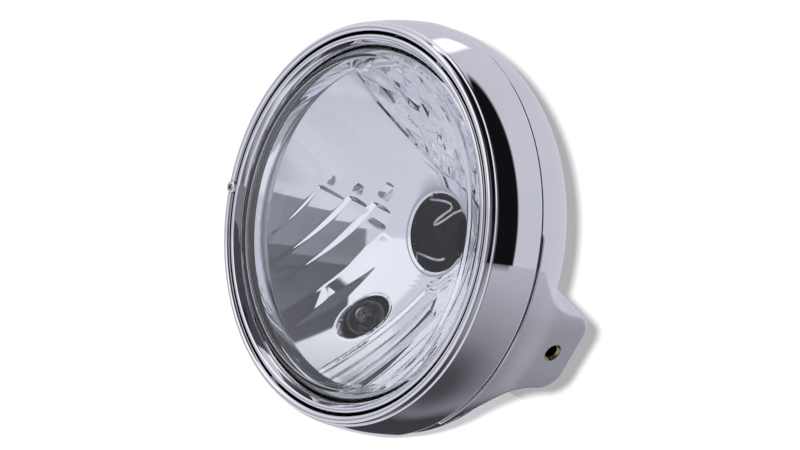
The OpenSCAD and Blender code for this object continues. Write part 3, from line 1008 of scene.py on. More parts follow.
@dataclass
class ShellSizes:
    """Sizes of the bowl and its ears, in millimetres and degrees.

    Attributes:
        outer_r: Outer radius of the bowl.
        spigot_r: Radius of the spigot that goes into the ring.
        spigot_front: Depth of the spigot's front edge.
        front: Depth of the bowl's front edge.
        bend_y: Depth where the bowl begins to bend.
        bend_r: Radius of the bend.
        cone_deg: Angle of the cone behind it.
        back_r: Radius of the bend before the flat back.
        depth: Depth of the flat back.
        wall: Thickness of the sheet.
        ear_x: Distance of an ear's face from the lamp axis.
        ear_y: Depth of the ear's hole.
        ear_half: Half the height of an ear.
        ear_tip: How far an ear goes on behind its hole.
        ear_corner: Radius of its rear corners.
        ear_flare: Radius of the hollow curve from the ear into the bowl.
        hole_d: Width of the hole in an ear.
        grommet_r: Radius of the hole in the back.
    """

    outer_r: float = 98.2
    spigot_r: float = 95.6
    spigot_front: float = 17.6
    front: float = 25.0
    bend_y: float = 28.0
    bend_r: float = 30.0
    cone_deg: float = 53.0
    back_r: float = 35.0
    depth: float = 90.0
    wall: float = 1.4
    ear_x: float = 97.0
    ear_y: float = 55.0
    ear_half: float = 21.0
    ear_tip: float = 15.0
    ear_corner: float = 11.0
    ear_flare: float = 32.0
    hole_d: float = 9.2
    grommet_r: float = 9.0


@dataclass
class Shell:
    """Chromed bowl with two ears, drawn from one sheet.

    Attributes:
        sizes: Sizes of the bowl and its ears.
        blend_mm: Width of the hollow blend between bowl and ears.
        edge_mm: Width of the rounding at the edges of the ears' faces.
        skin_mm: Width of the rounding where the ears end at the bowl.
        skin_gap: How far the ears reach past the bowl's outer radius.
        side_gap: How far inside an ear its sides count at most.
        far: Value that stands for far outside.
        heart_y: Depth of the point that the surface is seen from when it is sampled.
        reach: Least and greatest distance of the surface from that point.
        halvings: Steps of the search along a ray.
        columns: Points of a ring round the axis.
        rows: Rings from the seam to the back.
        sharp_deg: Edges that bend by more than this are sharp.
    """

    sizes: ShellSizes = field(default_factory=ShellSizes)
    blend_mm: float = 5.0
    edge_mm: float = 2.2
    skin_mm: float = 0.8
    skin_gap: float = 0.02
    side_gap: float = 6.0
    far: float = 40.0
    heart_y: float = 46.0
    reach: Point = (20.0, 125.0)
    halvings: int = 34
    columns: int = 512
    rows: int = 118
    sharp_deg: float = 34.0

    def bowl_gap(self, p: np.ndarray) -> np.ndarray:
        """Signed distance to the bowl, below zero inside.

        Args:
            p: Points, one to a row.

        Returns:
            A distance for each point.
        """
        s = self.sizes
        r = np.hypot(p[:, 0], p[:, 2])
        y = p[:, 1]
        cone = math.radians(s.cone_deg)
        normal = (math.cos(cone), math.sin(cone))
        first = (s.outer_r - s.bend_r, s.bend_y)
        last_y = s.depth - s.back_r
        start = normal[0] * first[0] + normal[1] * first[1]
        last_r = (start + s.bend_r - s.back_r - normal[1] * last_y) / normal[0]
        angle = np.arctan2(y - first[1], r - first[0])
        side = r - s.outer_r
        bend = np.hypot(r - first[0], y - first[1]) - s.bend_r
        slope = normal[0] * (r - first[0]) + normal[1] * (y - first[1]) - s.bend_r
        back = np.hypot(r - last_r, y - last_y) - s.back_r
        flat = y - s.depth
        along = -normal[1] * (r - first[0]) + normal[0] * (y - first[1])
        length = -normal[1] * (last_r - first[0]) + normal[0] * (last_y - first[1])
        gap = np.where(y < first[1], side, np.where(angle < cone, bend, slope))
        gap = np.where((along > length) & (angle >= cone), back, gap)
        return np.where(r < last_r, flat, gap)

    def ear_gap(self, p: np.ndarray) -> np.ndarray:
        """Distance like value to the two ears, below zero inside.

        Args:
            p: Points, one to a row.

        Returns:
            A value for each point.
        """
        s = self.sizes
        y = p[:, 1]
        z = np.abs(p[:, 2])
        join = s.ear_y + s.ear_tip - s.ear_corner
        flare = s.ear_flare - np.hypot(y - join, z - (s.ear_half + s.ear_flare))
        corner = np.hypot(y - join, z - (s.ear_half - s.ear_corner)) - s.ear_corner
        tip = y - s.ear_y - s.ear_tip
        flat = np.where(z < s.ear_half - s.ear_corner, tip, corner)
        outline = np.where(y < join, np.where(z > s.ear_half + s.ear_flare, self.far, flare), flat)
        sides = np.maximum(outline, z - s.ear_half - self.side_gap)
        outline = np.where((y < join) & (z < s.ear_half), sides, outline)
        pad = np.abs(p[:, 0]) - s.ear_x
        skin = np.hypot(p[:, 0], p[:, 2]) - s.outer_r + self.skin_gap
        return smooth_most(smooth_most(pad, outline, self.edge_mm), skin, self.skin_mm)

    def gap(self, p: np.ndarray) -> np.ndarray:
        """Signed value of bowl and ears together, with a hollow blend between them."""
        return -smooth_most(-self.bowl_gap(p), -self.ear_gap(p), self.blend_mm)

    def directions(self) -> tuple[np.ndarray, np.ndarray]:
        """Angles round the lamp axis and from it, closer together near the ears and the seam.

        Returns:
            The two lists of angles.
        """
        s = self.sizes
        side_deg, side_spread, side_more = 12.5, 6.0, 3.4
        tip_spread, tip_more, seam_deg, seam_more, least = 7.0, 2.2, 50.0, 0.8, 0.55
        seam_gap, round_places, down_places = 0.5, 7201, 4001
        around = np.linspace(-math.pi, math.pi, round_places)
        off = np.abs(np.mod(around + math.pi / 2, math.pi) - math.pi / 2)
        near = np.abs(off - math.radians(side_deg))
        weight = 1 + side_more * np.exp(-((near / math.radians(side_spread)) ** 2))
        round_angles = spaced(around, weight, np.arange(self.columns) / self.columns)
        first = math.atan2(s.outer_r, s.front + seam_gap - self.heart_y)
        down = np.linspace(first, 0.0, down_places)
        tip = math.atan2(s.ear_x, s.ear_y + s.ear_tip - self.heart_y)
        weight = least + tip_more * np.exp(-(((down - tip) / math.radians(tip_spread)) ** 2))
        weight = weight + seam_more * (down > math.radians(seam_deg))
        return round_angles, spaced(down, weight, np.arange(self.rows) / (self.rows - 1))

    def surface(self, offset: float, around: np.ndarray, down: np.ndarray) -> np.ndarray:
        """Points of the surface on rays from the heart of the lamp.

        Args:
            offset: Distance inside the outer surface.
            around: Angles round the lamp axis.
            down: Angles from the axis.

        Returns:
            Points as rows by columns by three.
        """
        a, d = np.meshgrid(around, down)
        ray = np.stack([np.cos(a) * np.sin(d), np.cos(d), np.sin(a) * np.sin(d)], axis=-1).reshape(-1, 3)
        heart = np.array([0.0, self.heart_y, 0.0])
        low, high = (np.full(len(ray), end) for end in self.reach)
        for _ in range(self.halvings):
            middle = (low + high) / 2
            inside = self.gap(heart + ray * middle[:, None]) < -offset
            low = np.where(inside, middle, low)
            high = np.where(inside, high, middle)
        points = heart + ray * ((low + high) / 2)[:, None]
        return points.reshape(len(down), len(around), 3)

    def build(self) -> bpy.types.Object:
        """Makes the sheet, its spigot, the ear holes and the hole for the grommet.

        Returns:
            The shell.
        """
        s = self.sizes
        around, down = self.directions()
        outer = self.surface(0.0, around, down)
        inner = self.surface(s.wall, around[::2], down[::3])
        inside_r = s.spigot_r - s.wall
        spigot = [(s.outer_r, s.front), (s.spigot_r, s.front), (s.spigot_r, s.spigot_front),
                  (inside_r, s.spigot_front), (inside_r, s.front + s.wall)]
        rings = list(outer[::-1]) + [circle(around, radius, y) for radius, y in spigot]
        piece = finished_mesh("shell_sheet", self.skin(rings, list(inner)), self.sharp_deg)
        ear_cut, back_cut, back_reach = 20.0, 12.0, 8.0
        for side in (-1, 1):
            place = (side * s.ear_x, s.ear_y, 0.0)
            combined(piece, cross_rod("ear_hole", place, s.hole_d / 2, ear_cut, "Z"), "DIFFERENCE")
        start = Vector((0, s.depth - back_reach, 0))
        combined(piece, rod("grommet_hole", start, s.grommet_r, back_cut), "DIFFERENCE")
        final = finished_mesh("shell_bowl", piece.data.copy(), self.sharp_deg)
        bpy.data.objects.remove(piece)
        return stand_in(final, Body.HOUSING, CHROME, "shell")

    def skin(self, rings: list[np.ndarray], inner: list[np.ndarray]) -> bpy.types.Mesh:
        """One closed mesh of the outer rings and the coarser inner rings.

        Args:
            rings: Rings from the back pole over the outside and the spigot to the inner edge.
            inner: Rings of the inside from the front to the back pole, with half as many points.

        Returns:
            The mesh.
        """
        work = bmesh.new()

        def strip(first: list, second: list) -> None:
            """Faces between two rings, the second with as many or half as many points."""
            step = len(first) // len(second)
            for k in range(len(second)):
                one = [first[(k * step + m) % len(first)] for m in range(step + 1)]
                work.faces.new(one + [second[(k + 1) % len(second)], second[k]])

        def ring_of(points: np.ndarray) -> list:
            """Vertices of a ring, or one vertex where it has shrunk to a point."""
            if np.ptp(points, axis=0).max() < 1e-3:
                return [work.verts.new(placed(points.mean(axis=0)))]
            return [work.verts.new(p) for p in placed(points)]

        made = [ring_of(r) for r in rings] + [ring_of(r) for r in inner]
        for first, second in zip(made[:-1], made[1:]):
            if len(first) == 1:
                for k in range(len(second)):
                    work.faces.new([first[0], second[(k + 1) % len(second)], second[k]])
            elif len(second) == 1:
                for k in range(len(first)):
                    work.faces.new([first[k], first[(k + 1) % len(first)], second[0]])
            else:
                strip(first, second)
        return mesh_of("shell", work)


def spaced(places: np.ndarray, weight: np.ndarray, shares: np.ndarray) -> np.ndarray:
    """Places that lie closer together where a weight is high.

    Args:
        places: Fine row of places.
        weight: Weight of each of them.
        shares: Shares of the whole way, from 0 to 1.

    Returns:
        A place for each share.
    """
    total = np.concatenate([[0], np.cumsum(weight[:-1])])
    return np.interp(shares * total[-1], total, places)


def smooth_most(first: np.ndarray, second: np.ndarray, width: float) -> np.ndarray:
    """The larger of two values, rounded where they are close.

    Args:
        first: First values.
        second: Second values.
        width: How close they are where the rounding starts.

    Returns:
        The rounded larger values.
    """
    near = np.clip(width - np.abs(first - second), 0, None) / width
    return np.maximum(first, second) + near**2 * width / 4


@dataclass
class ReflectorSizes:
    """Sizes of the reflector in millimetres.

    Attributes:
        neck_y: Depth of the dish at the neck.
        neck_r: Radius of the neck's opening.
        focal: Four times the focal length of the dish.
        dish_r: Radius of the dish.
        wall_r: Radius of the flange's inner edge.
        flange_r: Radius of the flange.
        flange_y: Depth of the flange's front.
        flange_t: Thickness of the flange.
        collar_r: Radius of the smooth collar round the neck.
        seat_r: Radius of the seat behind the neck.
        seat_y: Depth of the seat.
        back_gap: Thickness of the dish.
        slot_z: Height on the lamp of the position light.
        slot_r: Radius of its opening.
        slot_half: Half of what makes the opening longer than wide.
    """

    neck_y: float = 54.0
    neck_r: float = 19.25
    focal: float = 134.5
    dish_r: float = 77.6
    wall_r: float = 79.2
    flange_r: float = 86.8
    flange_y: float = 5.5
    flange_t: float = 2.5
    collar_r: float = 28.0
    seat_r: float = 32.0
    seat_y: float = 55.0
    back_gap: float = 3.6
    slot_z: float = -51.5
    slot_r: float = 9.5
    slot_half: float = 1.6


def ramp(value: np.ndarray) -> np.ndarray:
    """Values held between 0 and 1."""
    return np.clip(value, 0, 1)


@dataclass(frozen=True)
class Knife:
    """One steep narrow face between two flutes.

    Attributes:
        x: Place of its edge across the lamp, at its upper end.
        lean: How much the edge leans.
        width: Width of the steep face at its upper end.
        slope: Rise of the steep face.
        top: Height of its upper end.
        bottom: Height of its lower end.
    """

    x: float
    lean: float
    width: float
    slope: float
    top: float
    bottom: float

    def edge_at(self, z: np.ndarray) -> np.ndarray:
        """Place of the edge across the lamp, at a height."""
        return self.x + self.lean * (z - self.top)


@dataclass(frozen=True)
class Notch:
    """A small wedge above the flutes: its middle across the lamp, lower end, width and height."""

    middle: float
    low: float
    width: float
    tall: float


@dataclass(frozen=True)
class Flutes:
    """Knives, notches and the dark wedge at the left, and the upright flutes at the right.

    Attributes:
        knives: The steep faces, from left to right.
        notches: The small wedges above them.
        taper: How fast a knife gets narrow towards its lower end.
        start: Height over which a knife begins.
        gap: How far a flute ends before the next knife.
        last: Width of the flute behind the last knife.
        least: Least widths of a knife, of a flute and of the wedge.
        wedge_x: Place of the dark wedge across the lamp.
        wedge_top: Height of its upper end.
        wedge_spread: How fast it widens downwards.
        wedge_width: Its greatest width.
        wedge_rise: Width of its long face.
        wedge_slope: Height of the wedge for its width.
        wedge_fade: Distances from the dish's edge where it ends and where it begins to fade.
        notch_edge: Width of the sides of a notch.
        notch_slope: Rise of a notch upwards and across.
        edges: Places of the upright flutes at the right.
        crest: Place of a flute's crest, as a share of its width.
        height: Height of these flutes.
        bend: How much they bend, height of the bend's middle, where it begins and how far it grows.
        upper: Height where they begin, its fall to the sides, its middle and the length of the fade.
    """

    knives: tuple[Knife, ...] = (
        Knife(-59.0, 0.02, 1.6, 0.55, -15.5, -54.0),
        Knife(-46.0, 0.09, 3.2, 0.50, -12.5, -60.0),
        Knife(-35.5, 0.11, 4.2, 0.45, -8.5, -58.0),
        Knife(-26.8, 0.01, 0.5, 0.50, -19.0, -76.0),
    )
    notches: tuple[Notch, ...] = (
        Notch(-57.5, -13.5, 2.4, 5.0),
        Notch(-47.0, -10.5, 4.2, 5.0),
        Notch(-36.0, -5.5, 5.0, 9.0),
        Notch(-24.0, -4.0, 6.0, 10.0),
        Notch(-31.0, -19.0, 8.0, 3.0),
    )
    taper: float = 0.7
    start: float = 1.2
    gap: float = 1.5
    last: float = 7.0
    least: tuple[float, float, float] = (0.25, 2.0, 0.3)
    wedge_x: float = -18.0
    wedge_top: float = -32.0
    wedge_spread: float = 0.2
    wedge_width: float = 4.0
    wedge_rise: float = 8.5
    wedge_slope: float = 0.42
    wedge_fade: Point = (2.0, 16.0)
    notch_edge: float = 0.7
    notch_slope: Point = (0.30, 0.24)
    edges: tuple[float, ...] = (12.5, 15.5, 22.0, 30.5, 34.5, 41.0, 47.5, 55.0, 63.0, 72.0)
    crest: float = 0.22
    height: float = 0.75
    bend: tuple[float, float, float, float] = (0.0022, -20.0, 26.0, 30.0)
    upper: tuple[float, float, float, float] = (-17.0, 0.25, 22.0, 9.0)

    def knife_relief(self, x: np.ndarray, z: np.ndarray) -> np.ndarray:
        """Height of the flutes at the left: a steep narrow face, then a long gentle one.

        Args:
            x: Places across the lamp.
            z: Places up the lamp.

        Returns:
            Heights in millimetres.
        """
        height = np.zeros_like(x)
        for number, knife in enumerate(self.knives):
            down = ramp((knife.top - z) / (knife.top - knife.bottom))
            width = knife.width * (1 - down) ** self.taper * ramp((knife.top - z) / self.start)
            edge = knife.edge_at(z)
            crest = knife.slope * width
            ahead = self.knives[number + 1] if number + 1 < len(self.knives) else None
            reach = (ahead.edge_at(z) - self.gap if ahead else edge + self.last) - edge
            rise = ramp((x - edge + width) / np.maximum(width, self.least[0]))
            fall = ramp(1 - (x - edge) / np.maximum(reach, self.least[1]))
            height += np.where(x < edge, crest * rise, crest * fall) * (z < knife.top)
        return height

    def wedge_relief(self, x: np.ndarray, z: np.ndarray, dish_r: float) -> np.ndarray:
        """Height of the dark wedge left of the position light.

        Args:
            x: Places across the lamp.
            z: Places up the lamp.
            dish_r: Radius of the dish, where the wedge fades out.

        Returns:
            Heights in millimetres.
        """
        fade = ramp((dish_r - self.wedge_fade[0] - np.hypot(x, z)) / self.wedge_fade[1])
        width = np.clip((self.wedge_top - z) * self.wedge_spread, 0, self.wedge_width) * fade
        left = self.wedge_x - width / 2
        rise = ramp((x - left + self.wedge_rise) / self.wedge_rise)
        fall = ramp(1 - (x - left) / np.maximum(width, self.least[2]))
        return self.wedge_slope * width * np.where(x < left, rise, fall)

    def notch_relief(self, x: np.ndarray, z: np.ndarray) -> np.ndarray:
        """Height of the small wedges that stand above the flutes' upper ends."""
        height = np.zeros_like(x)
        for notch in self.notches:
            high, right = notch.low + notch.tall, notch.middle + notch.width / 2
            side = ramp((notch.width / 2 - np.abs(x - notch.middle)) / self.notch_edge)
            up = ramp((z - notch.low) / self.notch_edge) * ramp((high - z) / self.notch_edge)
            wedge = self.notch_slope[0] * (high - z) + self.notch_slope[1] * (right - x)
            height += np.clip(wedge, 0, None) * side * up
        return height

    def right_relief(self, x: np.ndarray, z: np.ndarray) -> np.ndarray:
        """Height of the upright flutes at the lower right."""
        amount, bend_z, bend_x, growth = self.bend
        top, slant, middle, fade = self.upper
        edges = np.array(self.edges)
        bent = x - amount * (z - bend_z) ** 2 * ramp((x - bend_x) / growth)
        number = np.clip(np.searchsorted(edges, bent) - 1, 0, len(edges) - 2)
        share = (bent - edges[number]) / (edges[number + 1] - edges[number])
        wave = np.where(share < self.crest, share / self.crest, (1 - share) / (1 - self.crest))
        inside = (bent > edges[0]) & (bent < edges[-1])
        start = ramp((top - slant * np.abs(x - middle) - z) / fade)
        return np.where(inside, self.height * ramp(wave) * start, 0.0)


@dataclass(frozen=True)
class Cells:
    """Angular cells in the upper part of the dish: low pyramids round scattered middles.

    Attributes:
        wide: Width of a cell.
        tall: Height of a cell.
        shift: How far a middle is moved, as a share of the cell.
        lean: How much a pyramid leans.
        repeat: Number of cells after which the draws repeat, both ways.
        seed: Seed of the draws.
        base: Height of the field of cells.
        slope: Fall of a pyramid's sides.
        shape: Weights of the distance across and of the distance aslant.
        lower: Places across the lamp and heights of the field's lower edge.
        step: Places across the lamp and lengths of the ramp at that edge.
    """

    wide: float = 13.0
    tall: float = 11.0
    shift: float = 0.32
    lean: float = 0.09
    repeat: int = 24
    seed: int = 7
    base: float = 1.5
    slope: float = 0.10
    shape: Point = (0.85, 0.25)
    lower: tuple[Sequence[float], Sequence[float]] = (
        (-64.0, -58.0, -51.0, -40.0, -28.0, -8.0, 12.0, 80.0),
        (58.0, 48.0, 39.0, 32.5, 28.0, 24.8, 27.5, 26.0),
    )
    step: tuple[Sequence[float], Sequence[float]] = ((-60.0, -40.0, 0.0), (5.5, 3.6, 3.0))

    def relief(self, x: np.ndarray, z: np.ndarray) -> np.ndarray:
        """Height of the cells.

        Args:
            x: Places across the lamp.
            z: Places up the lamp.

        Returns:
            Heights in millimetres.
        """
        rng = np.random.default_rng(self.seed)
        shift = rng.uniform(-self.shift, self.shift, (self.repeat, self.repeat, 2))
        lean = rng.uniform(-self.lean, self.lean, (self.repeat, self.repeat, 2))
        column = np.floor(x / self.wide).astype(int)
        row = np.floor(z / self.tall).astype(int)
        best = np.full_like(x, 1e9)
        height = np.zeros_like(x)
        for dc in (-1, 0, 1):
            for dr in (-1, 0, 1):
                c, r = column + dc, row + dr
                pick = shift[c % self.repeat, r % self.repeat]
                tilt = lean[c % self.repeat, r % self.repeat]
                dx = x - (c + 0.5 + pick[..., 0]) * self.wide
                dz = z - (r + 0.5 + pick[..., 1]) * self.tall
                gap = np.abs(dx) * self.shape[0] + np.abs(dz) + self.shape[1] * np.abs(dx + dz)
                here = 1.0 - self.slope * gap + tilt[..., 0] * dx + tilt[..., 1] * dz
                height = np.where(gap < best, here, height)
                best = np.minimum(gap, best)
        edge = ramp((z - np.interp(x, *self.lower)) / np.interp(x, *self.step))
        return edge * (self.base + height)


@dataclass
class Reflector:
    """Metallised dish with knife-edged flutes, cells, a collar and the neck.

    Attributes:
        sizes: Sizes of the dish.
        flutes: Relief of its lower half.
        cells: Relief of its upper part.
        columns: Points of a ring round the axis.
        rows: Rings from the neck to the edge of the dish.
        sharp_deg: Edges that bend by more than this are sharp.
        seam: Places across the lamp and heights of the fine line below the cells.
        seam_height: How far that line stands out.
    """

    sizes: ReflectorSizes = field(default_factory=ReflectorSizes)
    flutes: Flutes = field(default_factory=Flutes)
    cells: Cells = field(default_factory=Cells)
    columns: int = 720
    rows: int = 108
    sharp_deg: float = 40.0
    seam: tuple[Sequence[float], Sequence[float]] = (
        (-76.0, -45.0, -20.0, -8.0, 10.0), (29.5, 27.8, 26.0, 25.0, 29.0))
    seam_height: float = 0.10

    def base(self, r: np.ndarray) -> np.ndarray:
        """Depth of the plain dish at a radius."""
        s = self.sizes
        return s.neck_y - (r * r - s.neck_r**2) / s.focal

    def ripples(self, x: np.ndarray, z: np.ndarray) -> np.ndarray:
        """Height of the wavy rings on the collar, strongest at the lower right.

        Args:
            x: Places across the lamp.
            z: Places up the lamp.

        Returns:
            Heights in millimetres.
        """
        height, pitch, wobble, lobes = 0.12, 2.6, 0.8, 9
        strongest, inner, inner_fade, outer, outer_fade = math.radians(35), 22.5, 1.5, 31, 2
        r, angle = np.hypot(x, z), np.arctan2(z, x)
        wavy = ramp(np.cos(angle + strongest)) ** 2 * (x > 0)
        ripple = height * np.sin((r + wobble * np.sin(lobes * angle)) * 2 * math.pi / pitch) * wavy
        return ripple * ramp((r - inner) / inner_fade) * ramp((outer - r) / outer_fade)

    def relief(self, x: np.ndarray, z: np.ndarray) -> np.ndarray:
        """How far the surface stands in front of the plain dish, for places across and up the lamp."""
        s = self.sizes
        seam_drop, seam_half, seam_end = 1.2, 0.7, 8
        neck_rim, neck_rim_out, neck_rim_half = 0.45, 1.1, 1.0
        slot_rim, slot_rim_out, slot_flat, edge_fade = 0.55, 0.7, 0.6, 2.0
        r = np.hypot(x, z)
        height = self.flutes.knife_relief(x, z)
        height += self.flutes.wedge_relief(x, z, s.dish_r)
        height += self.flutes.notch_relief(x, z)
        height += self.flutes.right_relief(x, z)
        height += self.cells.relief(x, z)
        seam = np.interp(x, *self.seam)
        height += self.seam_height * ramp(1 - np.abs(z - seam + seam_drop) / seam_half) * (x < seam_end)
        height *= ramp((r - s.collar_r) / 1.0)
        height += self.ripples(x, z)
        slot = np.hypot(x, np.clip(np.abs(z - s.slot_z) - s.slot_half, 0, None)) - s.slot_r
        height *= ramp((slot - slot_flat) / 1.0)
        rims = neck_rim * ramp(1 - np.abs(r - s.neck_r - neck_rim_out) / neck_rim_half)
        rims += slot_rim * ramp(1 - np.abs(slot - slot_rim_out) / slot_rim_out)
        return height * ramp((s.dish_r - r) / edge_fade) + rims

    def build(self) -> bpy.types.Object:
        """Makes the dish with its rim, its back and the opening of the position light.

        Returns:
            The reflector.
        """
        s = self.sizes
        angles = np.linspace(0, 2 * math.pi, self.columns, endpoint=False)
        radii = np.concatenate([np.linspace(s.neck_r, s.neck_r + 3, 7),
                                np.linspace(s.neck_r + 3.5, s.dish_r, self.rows)])
        r, a = np.meshgrid(radii, angles, indexing="ij")
        x, z = r * np.cos(a), r * np.sin(a)
        front = np.stack([x, self.base(r) - self.relief(x, z), z], axis=-1)
        behind = s.flange_y + s.flange_t
        rim = [(s.wall_r, s.flange_y), (s.flange_r, s.flange_y), (s.flange_r, behind),
               (s.dish_r + 2.6, behind)]
        rim += [(b, float(self.base(b)) + s.back_gap) for b in np.linspace(s.dish_r + 1.6, s.seat_r + 1, 8)]
        rim += [(s.seat_r, s.seat_y), (s.neck_r, s.seat_y)]
        back = np.array([circle(angles, radius, y) for radius, y in rim])
        mesh = grid_mesh("reflector", np.concatenate([front, back]), (0, 3, 2, 1))
        piece = finished_mesh("reflector_raw", mesh, self.sharp_deg)
        slots = [rod("slot", Vector((0, s.flange_y + 2, s.slot_z + shift)), s.slot_r, 60, 96)
                 for shift in (-s.slot_half, s.slot_half)]
        combined(slots[0], slots[1], "UNION")
        combined(piece, slots[0], "DIFFERENCE")
        final = finished_mesh("reflector_dish", piece.data.copy(), self.sharp_deg)
        bpy.data.objects.remove(piece)
        return stand_in(final, Body.OPTIC, MIRROR, "reflector")


@dataclass
class PositionLight:
    """Small light in the lower half of the dish: a dark cup, a rim and a capless bulb.

    Attributes:
        dish: Sizes of the dish that it sits in.
        cup_r: Outer radius of the cup.
        cup_deep: Depth of the cup's floor behind the dish.
        bulb_r: Radius of the bulb.
        bulb_y: Depth of the bulb's middle behind the dish.
        bulb_wall: Thickness of its glass.
        sharp_deg: Edges of bulb and filament that bend by more than this are sharp.
    """

    dish: ReflectorSizes = field(default_factory=ReflectorSizes)
    cup_r: float = 9.2
    cup_deep: float = 7.0
    bulb_r: float = 4.8
    bulb_y: float = -0.6
    bulb_wall: float = 0.5
    sharp_deg: float = 60.0

    def seated(self, name: str, profile: Sequence[Point],
               sharp_deg: float = SHEET_SHARP_DEG) -> bpy.types.Object:
        """A turned piece whose axis stands square on the dish.

        Args:
            name: Name of the piece.
            profile: Closed profile as radius and depth behind the dish.
            sharp_deg: Edges that bend by more than this are sharp.

        Returns:
            The piece.
        """
        s = self.dish
        piece = turned(name, profile, 96, sharp_deg)
        slope = 2 * abs(s.slot_z) / s.focal
        depth = s.neck_y - (s.slot_z**2 - s.neck_r**2) / s.focal
        place = Vector((0, (depth - SHOULDER_MM) * MM, s.slot_z * MM))
        turn = Matrix.Rotation(-math.atan(slope), 4, "X")
        back = Matrix.Translation((0, SHOULDER_MM * MM, 0))
        piece.data.transform(Matrix.Translation(place) @ turn @ back)
        return piece

    def build(self) -> bpy.types.Object:
        """Makes the cup, the bulb and its filament.

        Returns:
            The cup.
        """
        r, deep = self.cup_r, self.cup_deep
        floor = [(AXIS_R, deep), (3.2, deep), (3.4, deep - 2.5), (4.6, deep - 2.5), (4.8, deep)]
        side = [(r - 1.6, deep), (r - 0.9, 0.9), (r - 0.4, 0.3), (r + 0.5, 0.3), (r + 0.5, 1.4), (r, 2.0)]
        rear = [(r, deep + 1.5), (4.5, deep + 3.0), (4.2, deep + 9.0), (AXIS_R, deep + 9.0)]
        cup = self.seated("position_cup", floor + side + rear)
        stand_in(cup, Body.OPTIC, GREY_PLASTIC, "position_socket")
        ball, middle = self.bulb_r, (0.0, self.bulb_y)
        outer = [(AXIS_R, self.bulb_y - ball)] + arc(middle, ball, -86, 42, 26)
        outer += [(2.4, deep - 1.0), (2.2, deep)]
        inner = [(1.7, deep - 0.6), (1.9, deep - 1.2)] + arc(middle, ball - self.bulb_wall, 42, -86, 26)
        inner += [(AXIS_R, self.bulb_y - ball + self.bulb_wall)]
        glass = self.seated("position_glass", outer + inner, self.sharp_deg)
        stand_in(glass, Body.OPTIC, BULB_GLASS, "position_bulb")
        coil = [(AXIS_R, -1.4), (0.5, -1.2), (0.5, -0.2)]
        post = [(0.3, 0.4), (0.3, deep - 1.0), (AXIS_R, deep - 1.0)]
        wire = self.seated("position_filament", coil + post, self.sharp_deg)
        stand_in(wire, Body.OPTIC, SPRING)
        return cup


@dataclass(frozen=True)
class RibRing:
    """Ring of nearly equal ribs made by a geometry node group with named inputs.

    Attributes:
        name: Name of the piece.
        count: Number of ribs.
        radius: Radius of the ring.
        depth: Depth of its middle behind the shoulder.
        rib: Size of a rib outwards, round the ring and along the axis.
        seed: Seed of the small differences in size.
    """

    name: str
    count: int
    radius: float
    depth: float
    rib: tuple[float, float, float]
    seed: int = 5

    def group(self) -> bpy.types.NodeTree:
        """The node group that sets the ribs on a circle.

        Returns:
            The group, with the inputs Count, Radius, Rib Size, Seed and Material.
        """
        tree = bpy.data.node_groups.new("ring of ribs", "GeometryNodeTree")
        for label, kind in (("Count", "Int"), ("Radius", "Float"), ("Rib Size", "Vector"), ("Seed", "Int"),
                            ("Material", "Material")):
            group_socket(tree, label, True, kind)
        group_socket(tree, "Geometry", False, "Geometry")
        link = tree.links.new
        inputs, outputs = added(tree, "NodeGroupInput"), added(tree, "NodeGroupOutput")
        circle = added(tree, "GeometryNodeMeshCircle")
        rib = added(tree, "GeometryNodeMeshCube")
        rib.inputs["Vertices Y"].default_value = 5
        place = added(tree, "GeometryNodeInputPosition")
        align = added(tree, "FunctionNodeAlignRotationToVector", axis="X")
        spread = added(tree, "FunctionNodeRandomValue", data_type="FLOAT")
        spread.inputs[2].default_value = 0.94
        spread.inputs[3].default_value = 1.0
        copies = added(tree, "GeometryNodeInstanceOnPoints")
        real = added(tree, "GeometryNodeRealizeInstances")
        paint = added(tree, "GeometryNodeSetMaterial")
        turn = added(tree, "GeometryNodeTransform")
        turn.inputs["Rotation"].default_value = (math.pi / 2, 0, 0)
        link(inputs.outputs["Count"], circle.inputs["Vertices"])
        link(inputs.outputs["Radius"], circle.inputs["Radius"])
        link(inputs.outputs["Rib Size"], rib.inputs["Size"])
        link(inputs.outputs["Seed"], spread.inputs["Seed"])
        link(place.outputs[0], align.inputs["Vector"])
        link(circle.outputs["Mesh"], copies.inputs["Points"])
        link(rib.outputs["Mesh"], copies.inputs["Instance"])
        link(align.outputs["Rotation"], copies.inputs["Rotation"])
        link(spread.outputs[1], copies.inputs["Scale"])
        link(copies.outputs["Instances"], real.inputs["Geometry"])
        link(real.outputs["Geometry"], turn.inputs["Geometry"])
        link(turn.outputs["Geometry"], paint.inputs["Geometry"])
        link(inputs.outputs["Material"], paint.inputs["Material"])
        link(paint.outputs["Geometry"], outputs.inputs["Geometry"])
        return tree

    def build(self, finish: Finish, body: Body) -> bpy.types.Object:
        """Makes the ribs as plain mesh.

        Args:
            finish: Finish of the ribs.
            body: Body that carries them.

        Returns:
            The ribs.
        """
        holder = bpy.data.objects.new(self.name + "_raw", bpy.data.meshes.new(self.name))
        bpy.context.collection.objects.link(holder)
        modifier = holder.modifiers.new("ribs", "NODES")
        modifier.node_group = self.group()
        values = {"Count": self.count, "Radius": self.radius * MM, "Rib Size": [v * MM for v in self.rib],
                  "Seed": self.seed, "Material": finish.material()}
        for item in modifier.node_group.interface.items_tree:
            if item.in_out == "INPUT":
                modifier[item.identifier] = values[item.name]
        bpy.context.view_layer.update()
        baked(holder)
        mesh = holder.data.copy()
        mesh.transform(Matrix.Translation((0, (self.depth - SHOULDER_MM) * MM, 0)))
        bpy.data.objects.remove(holder)
        return stand_in(finished_mesh(self.name, mesh, TOOL_SHARP_DEG), body, finish)


